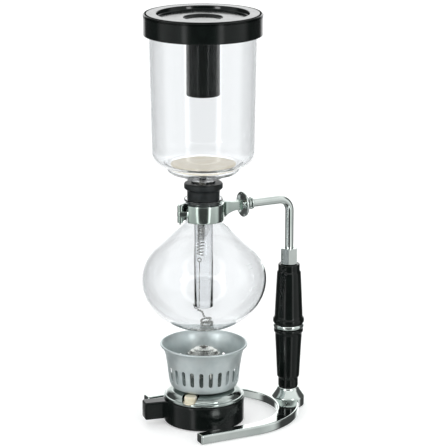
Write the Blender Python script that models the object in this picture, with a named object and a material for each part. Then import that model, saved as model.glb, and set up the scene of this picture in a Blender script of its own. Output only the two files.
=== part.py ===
"""Table siphon coffee maker: two glass chambers on a horseshoe stand, over a spirit burner.

Frame: +Z up, origin on the table under the chambers' common axis, +X towards the post.
Every length below is in millimetres. new_object() turns it into metres, Blender's unit.
"""

import math

import bmesh
import bpy
from mathutils import Matrix, Vector

MM = 0.001
GAP = 0.3  # clearance between pieces that touch

# Stand
BASE_HEIGHT = 7.5
LEG_TIP_X = -29.0
LEG_OUTER_Y = 55.5
LEG_INNER_Y = 46.0
BEND_X = 16.0  # centre of the inner bend
OUTER_ARC_X = 20.0  # where the straight outer side meets its arc
OUTER_ARC_R = 63.9
POST_X = 78.0
BOSS_R = 13.7
BOSS_Z = 8.2
CONE_TOP_R = 8.7
CONE_TOP_Z = 15.9
ROD_R = 3.5
ROD_BORE_R = ROD_R + GAP
ROD_Z = 177.0
ROD_BEND_R = 10.0
NUT_POCKET_R = 8.0
NUT_POCKET_Z = 6.6

# Grip on the post
LOWER_GRIP_Z = 16.2
RING_Z = 66.9
RING_HEIGHT = 4.2
RING_R = 12.7
UPPER_GRIP_Z = RING_Z + RING_HEIGHT + GAP
GRIP_TOP_Z = 121.8
GRIP_NUT_Z = GRIP_TOP_Z + GAP
GRIP_NUT_HEIGHT = 13.4
GRIP_NUT_FLATS = 13.2

# Neck clamp
BAND_LOW_Z = 168.4
BAND_TOP_Z = 182.2
BAND_IN_R = 15.0
BAND_OUT_R = 16.5
BAND_END_DEG = 15.0  # how far each half band stops short of the hinge side
PIN_X = -20.5
PIN_R = 1.1
KNUCKLE_R = 2.5
EAR_TIP_X = 34.0
EAR_TIP_HEIGHT = 7.0
EAR_THICK = 2.1
SPLIT = 0.25  # half the slit between the two ears
DISC_X = 34.5
DISC_R = 10.4

# Lower chamber (bulb)
BULB_A = 50.7
BULB_C = 42.4
BULB_Z = 119.6
BULB_WALL = 1.3
NECK_R = 14.7
NECK_IN_R = 13.3
NECK_TOP_Z = 186.2
SHOULDER_R = 35.6  # where the ellipse passes into the cone
GLOBE_SPLIT = 0.05  # half the gap between the globe's two solids

# Ball chain's free run
CHAIN_RUN = [(-5.0, 0.0, 93.2), (-3.6, -0.2, 92.5), (-2.0, -0.4, 91.6), (-1.0, -0.6, 89.6),
             (-0.2, -0.8, 87.4), (0.8, -1.0, 85.9)]

# Upper chamber
BOWL_TOP_Z = 331.6
BOWL_TOP_R = 44.0
BOWL_LOW_R = 42.0
BOWL_CORNER_Z = 226.0
BOWL_CORNER_R = 12.0
BOWL_WALL = 1.4
DISH_R = 30.4
STEM_R = 7.7
STEM_WALL = 1.2
STEM_LOW_Z = 96.0

# Stopper
STOPPER_TOP_Z = 199.0
STOPPER_LOW_Z = 172.0
STOPPER_FLANGE_R = 15.5
STOPPER_FLANGE = 5.3

# Filter
FILTER_R = 26.5
FILTER_LOW_Z = 209.3
FILTER_TOP_Z = 214.9
CLOTH = 0.7
CLOTH_HOLE_R = 9.0
SPRING_R = 3.0
SPRING_LOW = (-2.4, 1.0, 139.5)
RING_CENTRE = (-3.0, 1.2, 136.2)
WIRE_R = 0.45
CHAIN_R = 0.8

# Lid
LID_R = 47.0
LID_TOP_Z = 335.0
LID_LOW_Z = 318.0
LID_PANEL_R = 36.3
LID_PANEL_Z = 331.8
LID_DIMPLE_R = 15.2
LID_DIMPLE_Z = 329.8
LID_WALL = 2.3
SOCKET_R = 13.4
SOCKET_IN_R = 11.6
SOCKET_LOW_Z = 270.0

# Burner
TRAY_R = 33.0
TRAY_TOP_Z = 19.6
TRAY_WALL = 2.1
TAB_DEG = 170.0
TAB_R = 51.0
TAB_WIDTH = 11.0
TAB_LOW_Z = 5.0
RESERVOIR_R = TRAY_R - TRAY_WALL - GAP
COVER_LOW_Z = TRAY_TOP_Z + GAP
COVER_TOP_Z = 27.9
FILLER = (-20.1, -16.8)
FILLER_LOW_Z = 21.5
FILLER_TOP_Z = 27.7
FILLER_R = 5.0
FILLER_FLANGE_R = 6.3
SHIELD_LOW_Z = COVER_TOP_Z + GAP
SHIELD_TOP_Z = 64.5
SHIELD_RIM_R = 35.5
SHIELD_WALL = 0.9
SHIELD_HOLE_R = 17.9
SLOTS = 24
SLOT_WIDTH = 3.4
SLOT_LOW_Z = 35.7
SLOT_TOP_Z = 48.0
HEAD_R = 17.2
HEAD_SIDE_Z = 48.0
HEAD_TOP_Z = 61.6
HEAD_HOLE_R = 3.4
WICK_TUBE_R = 3.0
WICK_R = 2.2


def clear_scene():
    for obj in list(bpy.data.objects):
        bpy.data.objects.remove(obj, do_unlink=True)


def material(name, colour, roughness, metallic=0.0, transmission=0.0):
    """A Principled material from a linear colour."""
    mat = bpy.data.materials.new(name)
    mat.use_nodes = True
    shader = mat.node_tree.nodes["Principled BSDF"]
    shader.inputs["Base Color"].default_value = (*colour, 1.0)
    shader.inputs["Roughness"].default_value = roughness
    shader.inputs["Metallic"].default_value = metallic
    shader.inputs["Transmission Weight"].default_value = transmission
    return mat


def make_materials():
    return {
        "chrome": material("chrome_plate", (0.62, 0.64, 0.63), 0.08, 1.0),
        "steel": material("stainless_steel", (0.50, 0.50, 0.49), 0.25, 1.0),
        "aluminium": material("satin_aluminium", (0.48, 0.52, 0.54), 0.42, 1.0),
        "plastic": material("black_moulded_plastic", (0.006, 0.009, 0.008), 0.22),
        "rubber": material("black_rubber", (0.012, 0.014, 0.014), 0.55),
        "glass": material("borosilicate_glass", (0.93, 0.96, 0.97), 0.02, 0.0, 1.0),
        "cotton": material("filter_cotton", (0.58, 0.54, 0.45), 0.95),
        "wick": material("wick_cotton", (0.72, 0.69, 0.60), 0.95),
        "nylon": material("ivory_nylon", (0.60, 0.56, 0.44), 0.50),
    }


def new_object(name, bm, mat, smooth_deg=35.0):
    """Makes a named object in metres from a bmesh in millimetres."""
    bmesh.ops.scale(bm, vec=(MM, MM, MM), verts=bm.verts)
    mesh = bpy.data.meshes.new(name)
    bm.to_mesh(mesh)
    bm.free()
    mesh.materials.append(mat)
    mesh.shade_smooth()
    mesh.set_sharp_from_angle(angle=math.radians(smooth_deg))
    obj = bpy.data.objects.new(name, mesh)
    bpy.context.scene.collection.objects.link(obj)
    return obj


def move(bm, offset):
    bmesh.ops.translate(bm, vec=offset, verts=bm.verts)
    return bm


def along_x(bm, x, z):
    """Lays a shape that was turned about +Z along +X, its foot at (x, 0, z)."""
    bmesh.ops.rotate(bm, matrix=Matrix.Rotation(math.pi / 2, 3, "Y"), verts=bm.verts)
    return move(bm, (x, 0.0, z))


def arc(centre, radius, start_deg, end_deg, steps):
    """Points on a circle, both ends included."""
    points = []
    for i in range(steps + 1):
        angle = math.radians(start_deg + (end_deg - start_deg) * i / steps)
        points.append((centre[0] + radius * math.cos(angle), centre[1] + radius * math.sin(angle)))
    return points


def revolve(profile, segments=24):
    """Turns (radius, height) points about +Z. A profile that doesn't end on the axis is closed."""
    bm = bmesh.new()
    verts = [bm.verts.new((radius, 0.0, height)) for radius, height in profile]
    edges = [bm.edges.new(pair) for pair in zip(verts, verts[1:])]
    if profile[0][0] > 0.0:
        edges.append(bm.edges.new((verts[-1], verts[0])))
    bmesh.ops.spin(bm, geom=verts + edges, cent=(0, 0, 0), axis=(0, 0, 1),
                   angle=2 * math.pi, steps=segments, use_merge=True)
    bmesh.ops.remove_doubles(bm, verts=bm.verts, dist=1e-4)
    bmesh.ops.recalc_face_normals(bm, faces=bm.faces)
    return bm


def prism(outline, low, high):
    """Extrudes a flat outline of (x, y) points between two heights."""
    bm = bmesh.new()
    face = bm.faces.new([bm.verts.new((x, y, low)) for x, y in outline])
    grown = bmesh.ops.extrude_face_region(bm, geom=[face])
    top = [item for item in grown["geom"] if isinstance(item, bmesh.types.BMVert)]
    bmesh.ops.translate(bm, vec=(0.0, 0.0, high - low), verts=top)
    bmesh.ops.recalc_face_normals(bm, faces=bm.faces)
    return bm


def bevel(obj, width, segments=2):
    modifier = obj.modifiers.new("edge_round", "BEVEL")
    modifier.width = width * MM
    modifier.segments = segments
    modifier.limit_method = "ANGLE"
    modifier.angle_limit = math.radians(40.0)


def combine(obj, bm, operation):
    """Adds a Boolean whose second shape is a hidden helper made from bm."""
    helper = new_object(f"{obj.name}_{operation.lower()}_{len(obj.modifiers)}", bm, obj.data.materials[0])
    helper.hide_render = True
    helper.display_type = "WIRE"
    modifier = obj.modifiers.new(operation.lower(), "BOOLEAN")
    modifier.operation = operation
    modifier.object = helper


def drill(obj, radius, low, high, centre=(0.0, 0.0), segments=16):
    cutter = revolve([(0.0, high), (radius, high), (radius, low), (0.0, low)], segments)
    combine(obj, move(cutter, (*centre, 0.0)), "DIFFERENCE")


def bent_wire(name, points, radius, mat, sides=2):
    """A round wire through the points, as a curve with filled ends."""
    curve = bpy.data.curves.new(name, "CURVE")
    curve.dimensions = "3D"
    curve.bevel_depth = radius * MM
    curve.bevel_resolution = sides
    curve.use_fill_caps = True
    curve.materials.append(mat)
    spline = curve.splines.new("POLY")
    spline.points.add(len(points) - 1)
    for point, place in zip(spline.points, points):
        point.co = (*(Vector(place) * MM), 1.0)
    spline.use_smooth = True
    obj = bpy.data.objects.new(name, curve)
    bpy.context.scene.collection.objects.link(obj)
    return obj


def smooth_route(knots, spacing):
    """Points read about every spacing from a Catmull-Rom curve through the knots."""
    knots = [Vector(knot) for knot in knots]
    padded = [2 * knots[0] - knots[1], *knots, 2 * knots[-1] - knots[-2]]
    points = []
    for a, b, c, d in zip(padded, padded[1:], padded[2:], padded[3:]):
        steps = max(2, round((c - b).length / spacing))
        for i in range(steps):
            t = i / steps
            points.append(0.5 * (2 * b + (c - a) * t + (2 * a - 5 * b + 4 * c - d) * t**2
                                 + (3 * b - 3 * c + d - a) * t**3))
    return [*points, knots[-1]]


# Stand -------------------------------------------------------------------------------------------


def horseshoe_outline():
    """The bar seen from above: straight legs, a round inner bend, and two outer arcs that meet at +X."""
    arc_y = OUTER_ARC_R - LEG_OUTER_Y
    meet_deg = math.degrees(math.asin(arc_y / OUTER_ARC_R))
    right = arc((OUTER_ARC_X, arc_y), OUTER_ARC_R, -90.0, -meet_deg, 14)
    left = [(x, -y) for x, y in reversed(right)]
    inner = arc((BEND_X, 0.0), LEG_INNER_Y, 90.0, -90.0, 28)
    tips = [(LEG_TIP_X, LEG_OUTER_Y), (LEG_TIP_X, LEG_INNER_Y)]
    return [*right, *left[1:], *tips, *inner, (LEG_TIP_X, -LEG_INNER_Y), (LEG_TIP_X, -LEG_OUTER_Y)]


def make_base(mats):
    base = new_object("horseshoe_base", prism(horseshoe_outline(), 0.0, BASE_HEIGHT), mats["chrome"])
    bevel(base, 1.1)
    boss = revolve([(0.0, CONE_TOP_Z), (CONE_TOP_R, CONE_TOP_Z), (CONE_TOP_R + 0.6, CONE_TOP_Z - 1.6),
                    (BOSS_R - 0.9, BOSS_Z + 0.9), (BOSS_R, BOSS_Z - 0.4), (BOSS_R, 0.6),
                    (BOSS_R - 0.6, 0.0), (0.0, 0.0)])
    combine(base, move(boss, (POST_X, 0.0, 0.0)), "UNION")
    bore = revolve([(0.0, CONE_TOP_Z + 1.0), (ROD_BORE_R, CONE_TOP_Z + 1.0), (ROD_BORE_R, NUT_POCKET_Z),
                    (NUT_POCKET_R, NUT_POCKET_Z), (NUT_POCKET_R, -1.0), (0.0, -1.0)], 20)
    combine(base, move(bore, (POST_X, 0.0, 0.0)), "DIFFERENCE")


def ring_profile(inner, outer, low, high, chamfer=0.4):
    return [(outer - chamfer, high), (outer, high - chamfer), (outer, low + chamfer),
            (outer - chamfer, low), (inner, low), (inner, high)]


def hex_nut(name, mat, flats, low, high, centre):
    """A hexagon with one corner towards +X, its corners chamfered by a cone at each end."""
    corner = flats / 2 / math.cos(math.pi / 6)
    nut = new_object(name, move(revolve([(0.0, high), (corner, high), (corner, low), (0.0, low)], 6),
                                (*centre, 0.0)), mat)
    chamfer = revolve([(0.0, high + 0.01), (flats / 2, high + 0.01), (corner + 0.2, high - 0.9),
                       (corner + 0.2, low + 0.9), (flats / 2, low - 0.01), (0.0, low - 0.01)], 36)
    combine(nut, move(chamfer, (*centre, 0.0)), "INTERSECT")
    drill(nut, ROD_BORE_R, low - 1.0, high + 1.0, centre)


def make_post(mats):
    """What stands on the base, from the fixing nut under it up to the nut over the grip."""
    post = (POST_X, 0.0, 0.0)
    hex_nut("base_nut", mats["steel"], 11.0, 1.0, 5.0, (POST_X, 0.0))
    washer = ring_profile(ROD_BORE_R, NUT_POCKET_R - 0.6, 5.3, NUT_POCKET_Z - GAP, 0.2)
    new_object("base_washer", move(revolve(washer, 16), post), mats["steel"])

    lower = [(11.9, RING_Z - GAP), (12.2, RING_Z - 0.7), (12.2, 64.0), (11.7, 63.3), (11.2, 62.6),
             (10.2, 43.0), (9.3, 25.0), (8.5, 24.0), (8.3, 23.4), (8.3, LOWER_GRIP_Z + 0.5),
             (7.9, LOWER_GRIP_Z), (ROD_BORE_R, LOWER_GRIP_Z), (ROD_BORE_R, RING_Z - GAP)]
    new_object("lower_grip", move(revolve(lower), post), mats["plastic"])

    ring = ring_profile(ROD_BORE_R, RING_R, RING_Z, RING_Z + RING_HEIGHT, 0.8)
    new_object("grip_ring", move(revolve(ring), post), mats["chrome"])

    upper = [(8.5, GRIP_TOP_Z), (8.95, GRIP_TOP_Z - 0.5), (8.95, 116.2), (9.3, 115.7), (9.9, 115.0),
             (10.9, 95.0), (11.7, 77.0), (12.2, 76.0), (12.9, 75.2), (13.0, 72.6),
             (12.5, UPPER_GRIP_Z), (ROD_BORE_R, UPPER_GRIP_Z), (ROD_BORE_R, GRIP_TOP_Z)]
    new_object("upper_grip", move(revolve(upper), post), mats["plastic"])

    nut_top = GRIP_NUT_Z + GRIP_NUT_HEIGHT
    hex_nut("grip_nut", mats["chrome"], GRIP_NUT_FLATS, GRIP_NUT_Z, nut_top, (POST_X, 0.0))


def make_arm(mats):
    """One rod: from the clamp's ear along +X, round the elbow, and down through the grip to the base nut."""
    elbow = arc((POST_X - ROD_BEND_R, ROD_Z - ROD_BEND_R), ROD_BEND_R, 90.0, 0.0, 10)
    route = [(EAR_TIP_X + GAP, 0.0, ROD_Z), *((x, 0.0, z) for x, z in elbow), (POST_X, 0.0, 0.8)]
    bent_wire("arm_rod", route, ROD_R, mats["chrome"], sides=4)


# Neck clamp --------------------------------------------------------------------------------------


def half_band_outline(side):
    """Half of the ring round the neck: side is +1 for the rear half and -1 for the front half."""
    ear_deg = math.degrees(math.asin(SPLIT / BAND_IN_R))
    outer = arc((0.0, 0.0), BAND_OUT_R, ear_deg, 180.0 - BAND_END_DEG, 18)
    inner = arc((0.0, 0.0), BAND_IN_R, 180.0 - BAND_END_DEG, ear_deg, 18)
    return [(x, side * y) for x, y in [*outer, *inner]]


def ear(side):
    """The tongue that runs from the band towards the arm, narrowing to the disc."""
    middle = ROD_Z
    tip = EAR_TIP_HEIGHT / 2
    top = [(15.4, BAND_TOP_Z), (18.5, BAND_TOP_Z - 0.4), (22.0, middle + 4.2), (26.0, middle + 3.4),
           (30.0, middle + tip - 0.2), (EAR_TIP_X, middle + tip)]
    low = [(EAR_TIP_X, middle - tip), (30.0, middle - tip + 0.2), (26.0, middle - 4.2),
           (22.0, middle - 5.9), (18.5, BAND_LOW_Z + 0.6), (15.4, BAND_LOW_Z)]
    bm = prism([*top, *low], min(side * SPLIT, side * (SPLIT + EAR_THICK)),
               max(side * SPLIT, side * (SPLIT + EAR_THICK)))
    # The outline was drawn in X and height, so its extrusion is turned to lie along Y.
    swap_y_and_z = Matrix(((1, 0, 0, 0), (0, 0, 1, 0), (0, 1, 0, 0), (0, 0, 0, 1)))
    bmesh.ops.transform(bm, verts=bm.verts, matrix=swap_y_and_z)
    bmesh.ops.recalc_face_normals(bm, faces=bm.faces)
    return bm


def knuckle(side, low, high):
    """A hinge barrel round the pin with the strap that joins it to the band's end."""
    barrel = arc((PIN_X, 0.0), KNUCKLE_R, 90.0, 360.0, 14)
    end = [(-15.7, -4.6), (-14.9, -2.8)]
    return prism([(x, -side * y) for x, y in [*barrel, *end, (-18.6, 1.4)]], low, high)


def make_clamp(mats):
    height = BAND_TOP_Z - BAND_LOW_Z
    third = height / 3
    barrels = {
        1: [(BAND_LOW_Z, BAND_LOW_Z + third - GAP / 2), (BAND_TOP_Z - third + GAP / 2, BAND_TOP_Z)],
        -1: [(BAND_LOW_Z + third + GAP / 2, BAND_TOP_Z - third - GAP / 2)],
    }
    for side, name in ((1, "rear_band"), (-1, "front_band")):
        band = new_object(name, prism(half_band_outline(side), BAND_LOW_Z, BAND_TOP_Z), mats["chrome"])
        combine(band, ear(side), "UNION")
        for low, high in barrels[side]:
            combine(band, knuckle(side, low, high), "UNION")
        drill(band, PIN_R + GAP, BAND_LOW_Z - 1.0, BAND_TOP_Z + 1.0, (PIN_X, 0.0), 16)

    pin = [(0.0, BAND_TOP_Z + 1.2), (1.4, BAND_TOP_Z + 1.2), (1.9, BAND_TOP_Z + 0.8),
           (1.9, BAND_TOP_Z + GAP), (PIN_R, BAND_TOP_Z + GAP), (PIN_R, BAND_LOW_Z - 1.6),
           (0.7, BAND_LOW_Z - 2.0), (0.0, BAND_LOW_Z - 2.0)]
    new_object("hinge_pin", move(revolve(pin, 16), (PIN_X, 0.0, 0.0)), mats["chrome"])

    disc = [(DISC_R - 0.5, 0.0), (4.6, 2.6), (ROD_BORE_R, 2.8), (ROD_BORE_R, 5.9), (5.3, 5.9),
            (5.3, 4.4), (7.2, 3.6), (DISC_R - 0.3, 1.5), (DISC_R, 0.9), (DISC_R, 0.4)]
    new_object("clamp_nut", along_x(revolve(disc), DISC_X, ROD_Z), mats["chrome"])
    collar = ring_profile(ROD_BORE_R, 4.9, 0.0, 1.6, 0.3)
    new_object("arm_collar", along_x(revolve(collar, 16), DISC_X + 7.6, ROD_Z), mats["chrome"])


# Glass -------------------------------------------------------------------------------------------


def globe_arc(inset, first, last, steps):
    """The globe's side, set in by inset, between two angles counted from the bottom pole."""
    angles = [first + (last - first) * i / steps for i in range(steps + 1)]
    return [((BULB_A - inset) * math.sin(a), BULB_Z - (BULB_C - inset) * math.cos(a)) for a in angles]


def make_globe(mats):
    """A flattened globe that passes into a cone and a straight neck with a flared lip.

    It is one blown piece, made here as two solids that meet at its widest circle.
    """
    apart = GLOBE_SPLIT / BULB_C
    low_side = globe_arc(0.0, 0.0, math.pi / 2 - apart, 6)
    low_inside = globe_arc(BULB_WALL, 0.0, math.pi / 2 - apart, 6)
    low_side[-1] = (low_side[-1][0], BULB_Z - GLOBE_SPLIT)
    low_inside[-1] = (low_inside[-1][0], BULB_Z - GLOBE_SPLIT)
    new_object("globe_lower_half", revolve([*low_side, *reversed(low_inside)], 28), mats["glass"])
    shoulder = math.pi - math.asin(SHOULDER_R / BULB_A)
    side = globe_arc(0.0, math.pi / 2 + apart, shoulder, 5)
    side[0] = (side[0][0], BULB_Z + GLOBE_SPLIT)
    side += [(17.0, 165.9), (15.3, 167.2), (NECK_R, 168.3), (NECK_R, 182.3), (15.6, 184.6), (15.9, 185.5),
             (15.5, NECK_TOP_Z)]
    inside_end = math.pi - math.asin((SHOULDER_R - BULB_WALL) / (BULB_A - BULB_WALL))
    inside = globe_arc(BULB_WALL, math.pi / 2 + apart, inside_end, 5)
    inside[0] = (inside[0][0], BULB_Z + GLOBE_SPLIT)
    inside += [(15.7, 165.2), (14.0, 166.6), (NECK_IN_R, 168.3), (NECK_IN_R, 183.0), (13.9, 185.2),
               (14.5, NECK_TOP_Z)]
    new_object("globe_upper_half", revolve([*side, *reversed(inside)], 28), mats["glass"])


def bowl_side(inset):
    """The bowl from its rim down to the stem's foot, set in from the outer face by inset."""
    corner = arc((BOWL_LOW_R - BOWL_CORNER_R, BOWL_CORNER_Z), BOWL_CORNER_R - inset, 0.0, -78.0, 4)
    stem = STEM_R if inset == 0.0 else STEM_R - STEM_WALL
    return [
        (BOWL_TOP_R - inset, BOWL_TOP_Z),
        ((BOWL_TOP_R + BOWL_LOW_R) / 2 - inset, 275.0),
        *corner,
        (DISH_R + 0.4 - inset, 213.4 + inset),
        (DISH_R - inset, 211.6 + 0.5 * inset),
        (29.4 - inset, 209.4 + 0.5 * inset),
        (26.0 - 0.6 * inset, 207.3 + inset),
        (20.0, 205.2 + inset),
        (13.0 - 0.4 * inset, 202.6 + 0.8 * inset),
        (stem + 1.5, 199.8 + 0.4 * inset),
        (stem + 0.2, 196.0),
        (stem, 192.0),
        (stem, STEM_LOW_Z),
    ]


def make_bowl(mats):
    outer = bowl_side(0.0)
    inner = bowl_side(BOWL_WALL)
    new_object("upper_bowl", revolve([*outer, *reversed(inner)], 28), mats["glass"])

    flange_low = STOPPER_TOP_Z - STOPPER_FLANGE
    bore = STEM_R + GAP
    stopper = [(STOPPER_FLANGE_R - 0.7, STOPPER_TOP_Z), (STOPPER_FLANGE_R, STOPPER_TOP_Z - 0.8),
               (STOPPER_FLANGE_R, flange_low + 1.2), (STOPPER_FLANGE_R - 1.4, flange_low),
               (13.1, flange_low - 0.6), (12.9, 186.0), (12.2, STOPPER_LOW_Z + 0.8),
               (11.4, STOPPER_LOW_Z), (bore, STOPPER_LOW_Z), (bore, 191.0), (bore + 0.4, 196.4),
               (bore + 1.7, STOPPER_TOP_Z)]
    new_object("stopper", revolve(stopper), mats["rubber"])


# Filter ------------------------------------------------------------------------------------------


def make_filter(mats):
    """A cloth bag round two plates, drawn down on the bowl's seat by a spring hooked under the stem."""
    bag = [(0.0, FILTER_TOP_Z), (FILTER_R - 1.6, FILTER_TOP_Z), (FILTER_R, FILTER_TOP_Z - 1.4),
           (FILTER_R - 0.2, FILTER_LOW_Z + 2.4), (FILTER_R - 2.6, FILTER_LOW_Z),
           (CLOTH_HOLE_R, FILTER_LOW_Z), (CLOTH_HOLE_R, FILTER_LOW_Z + CLOTH),
           (FILTER_R - 3.2, FILTER_LOW_Z + CLOTH), (FILTER_R - 0.9, FILTER_LOW_Z + 2.6),
           (FILTER_R - 0.9, FILTER_TOP_Z - 1.8), (FILTER_R - 1.9, FILTER_TOP_Z - CLOTH),
           (0.0, FILTER_TOP_Z - CLOTH)]
    new_object("filter_cloth", revolve(bag), mats["cotton"])
    upper_plate = [(0.0, 213.9), (23.6, 213.9), (24.0, 213.5), (24.0, 212.9), (0.0, 212.9)]
    new_object("filter_upper_plate", revolve(upper_plate), mats["steel"])
    lower_plate = ring_profile(SPRING_R + 0.6, 23.0, 210.6, 212.4, 0.3)
    new_object("filter_lower_plate", revolve(lower_plate), mats["steel"])

    top = Vector((0.0, 0.0, 212.5))
    low = Vector(SPRING_LOW)
    lie = (top - low).to_track_quat("Z", "Y").to_matrix()
    sleeve = revolve(ring_profile(SPRING_R - 0.9, SPRING_R, 0.0, (top - low).length, 0.2), 16)
    bmesh.ops.rotate(sleeve, matrix=lie, verts=sleeve.verts)
    new_object("filter_spring", move(sleeve, low), mats["steel"])

    ring = revolve(arc((1.5, 0.0), WIRE_R, 0.0, 315.0, 7), 20)
    bmesh.ops.rotate(ring, matrix=Matrix.Rotation(math.pi / 2, 3, "X"), verts=ring.verts)
    new_object("hook_ring", move(ring, RING_CENTRE), mats["steel"])

    x, y, z = RING_CENTRE
    hook = [(x, y, z - 2.5), (x - 0.1, y, 120.0), (x - 0.3, y, 104.0), (x - 0.7, 0.8, 97.0),
            (x - 1.8, 0.4, 95.2), (x - 3.6, 0.1, 94.7), (x - 5.2, 0.0, 95.6), (x - 5.7, 0.0, 98.6)]
    bent_wire("hook_wire", smooth_route(hook, 2.0), WIRE_R, mats["steel"])


def make_chain(mats):
    """The ball chain under the hook: a free run, and the heap in which it ends on the bulb's floor."""
    bent_wire("chain_run", smooth_route(CHAIN_RUN, 1.6), CHAIN_R, mats["steel"])
    heap = [(0.0, 84.9), (2.6, 84.7), (4.6, 83.7), (6.0, 82.0), (6.2, 80.6), (5.0, 79.9), (0.0, 79.6)]
    new_object("chain_heap", move(revolve(heap, 20), (2.4, -1.2, 0.0)), mats["steel"])


# Lid ---------------------------------------------------------------------------------------------


def make_lid(mats):
    """One moulding: a capping rim, a sunk panel, and the socket that takes the stem on the table."""
    under = LID_PANEL_Z - LID_WALL
    profile = [(0.0, LID_DIMPLE_Z), (LID_DIMPLE_R - 0.6, LID_DIMPLE_Z),
               (LID_DIMPLE_R, LID_DIMPLE_Z + 0.5), (LID_DIMPLE_R + 0.4, LID_PANEL_Z - 0.2),
               (LID_DIMPLE_R + 1.2, LID_PANEL_Z), (LID_PANEL_R - 0.6, LID_PANEL_Z),
               (LID_PANEL_R, LID_PANEL_Z + 0.6), (LID_PANEL_R + 0.2, LID_TOP_Z - 0.5),
               (LID_PANEL_R + 0.9, LID_TOP_Z), *arc((LID_R - 2.2, LID_TOP_Z - 2.2), 2.2, 90.0, 0.0, 2),
               (LID_R, LID_LOW_Z + 1.0), (LID_R - 0.8, LID_LOW_Z), (BOWL_TOP_R + 0.8, LID_LOW_Z),
               (BOWL_TOP_R + 0.5, LID_TOP_Z - 2.6), (LID_PANEL_R + 2.4, LID_TOP_Z - 2.6),
               (LID_PANEL_R + 2.2, under), (SOCKET_R, under), (SOCKET_R, SOCKET_LOW_Z + 0.6),
               (SOCKET_R - 0.5, SOCKET_LOW_Z), (SOCKET_IN_R, SOCKET_LOW_Z),
               (SOCKET_IN_R, LID_DIMPLE_Z - LID_WALL), (0.0, LID_DIMPLE_Z - LID_WALL)]
    new_object("lid", revolve(profile, 32), mats["plastic"])


# Burner ------------------------------------------------------------------------------------------


def make_tray(mats):
    inner = TRAY_R - TRAY_WALL
    profile = [(0.0, TRAY_WALL + 0.2), (inner, TRAY_WALL + 0.2), (inner, TRAY_TOP_Z),
               (TRAY_R - 0.8, TRAY_TOP_Z), (TRAY_R, TRAY_TOP_Z - 0.9), (TRAY_R, 1.0),
               (TRAY_R - 1.0, 0.0), (0.0, 0.0)]
    tray = new_object("burner_tray", revolve(profile, 32), mats["plastic"])
    half = TAB_WIDTH / 2
    outline = [(TRAY_R - 1.2, -half - 1.4), (TRAY_R + 2.0, -half), (TAB_R - 1.2, -half),
               (TAB_R, -half + 1.2), (TAB_R, half - 1.2), (TAB_R - 1.2, half), (TRAY_R + 2.0, half),
               (TRAY_R - 1.2, half + 1.4)]
    tab = prism(outline, TAB_LOW_Z, TRAY_TOP_Z - 0.1)
    bmesh.ops.rotate(tab, matrix=Matrix.Rotation(math.radians(TAB_DEG), 3, "Z"), verts=tab.verts)
    combine(tray, tab, "UNION")


def make_reservoir(mats):
    low = TRAY_WALL + 0.2 + GAP
    top = TRAY_TOP_Z - 1.1
    cup = [(0.0, low + 0.8), (RESERVOIR_R - 2.6, low + 0.8), (RESERVOIR_R - 0.8, low + 2.6),
           (RESERVOIR_R - 0.8, top), (RESERVOIR_R, top), (RESERVOIR_R, low + 2.2),
           (RESERVOIR_R - 2.2, low), (0.0, low)]
    new_object("fuel_reservoir", revolve(cup), mats["steel"])
    seal = ring_profile(RESERVOIR_R - 3.0, RESERVOIR_R, top + GAP, TRAY_TOP_Z, 0.2)
    new_object("reservoir_seal", revolve(seal), mats["rubber"])

    cover = [(12.0, COVER_TOP_Z), (22.6, COVER_TOP_Z), (24.6, 27.6), (27.2, 26.9), (29.2, 25.7),
             (31.0, 24.0), (32.1, 22.2), (32.6, 20.8), (32.6, COVER_LOW_Z), (18.5, COVER_LOW_Z),
             (18.3, COVER_TOP_Z - 1.4), (WICK_TUBE_R + 1.6, COVER_TOP_Z - 1.4),
             (WICK_TUBE_R + 1.4, COVER_LOW_Z), (WICK_TUBE_R + GAP, COVER_LOW_Z),
             (WICK_TUBE_R + GAP, COVER_TOP_Z)]
    cap = new_object("reservoir_cover", revolve(cover), mats["chrome"])
    drill(cap, FILLER_FLANGE_R + 0.7, FILLER_LOW_Z - GAP, COVER_TOP_Z + 1.0, FILLER)

    filler = [(0.0, FILLER_TOP_Z), (FILLER_R - 0.6, FILLER_TOP_Z), (FILLER_R, FILLER_TOP_Z - 0.6),
              (FILLER_R, FILLER_LOW_Z + 1.1), (FILLER_FLANGE_R - 0.3, FILLER_LOW_Z + 1.0),
              (FILLER_FLANGE_R, FILLER_LOW_Z + 0.7), (FILLER_FLANGE_R, FILLER_LOW_Z), (0.0, FILLER_LOW_Z)]
    new_object("filler_cap", move(revolve(filler, 20), (*FILLER, 0.0)), mats["nylon"])


def make_head(mats):
    """The domed head over the wick tube, with the wick showing in its centre hole."""
    dome = arc((0.0, 0.0), 1.0, 0.0, 78.0, 5)
    rise = HEAD_TOP_Z - HEAD_SIDE_Z
    outer = [(HEAD_R * x, HEAD_SIDE_Z + rise * y) for x, y in dome]
    inner = [((HEAD_R - 0.9) * x, HEAD_SIDE_Z + (rise - 0.9) * y) for x, y in dome]
    profile = [(HEAD_R, SHIELD_LOW_Z), *outer, (HEAD_HOLE_R, HEAD_TOP_Z), (HEAD_HOLE_R, HEAD_TOP_Z - 0.9),
               *reversed(inner), (HEAD_R - 0.9, SHIELD_LOW_Z)]
    new_object("burner_head", revolve(profile), mats["steel"])
    tube = [(WICK_TUBE_R, HEAD_TOP_Z - 0.5), (WICK_TUBE_R, 6.0), (WICK_R + GAP, 6.0),
            (WICK_R + GAP, HEAD_TOP_Z - 0.5)]
    new_object("wick_tube", revolve(tube, 20), mats["steel"])
    wick = [(0.0, HEAD_TOP_Z - 0.2), (WICK_R - 0.5, HEAD_TOP_Z - 0.4), (WICK_R, HEAD_TOP_Z - 1.0),
            (WICK_R, 4.4), (0.0, 4.0)]
    new_object("wick", revolve(wick, 16), mats["wick"])


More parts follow.
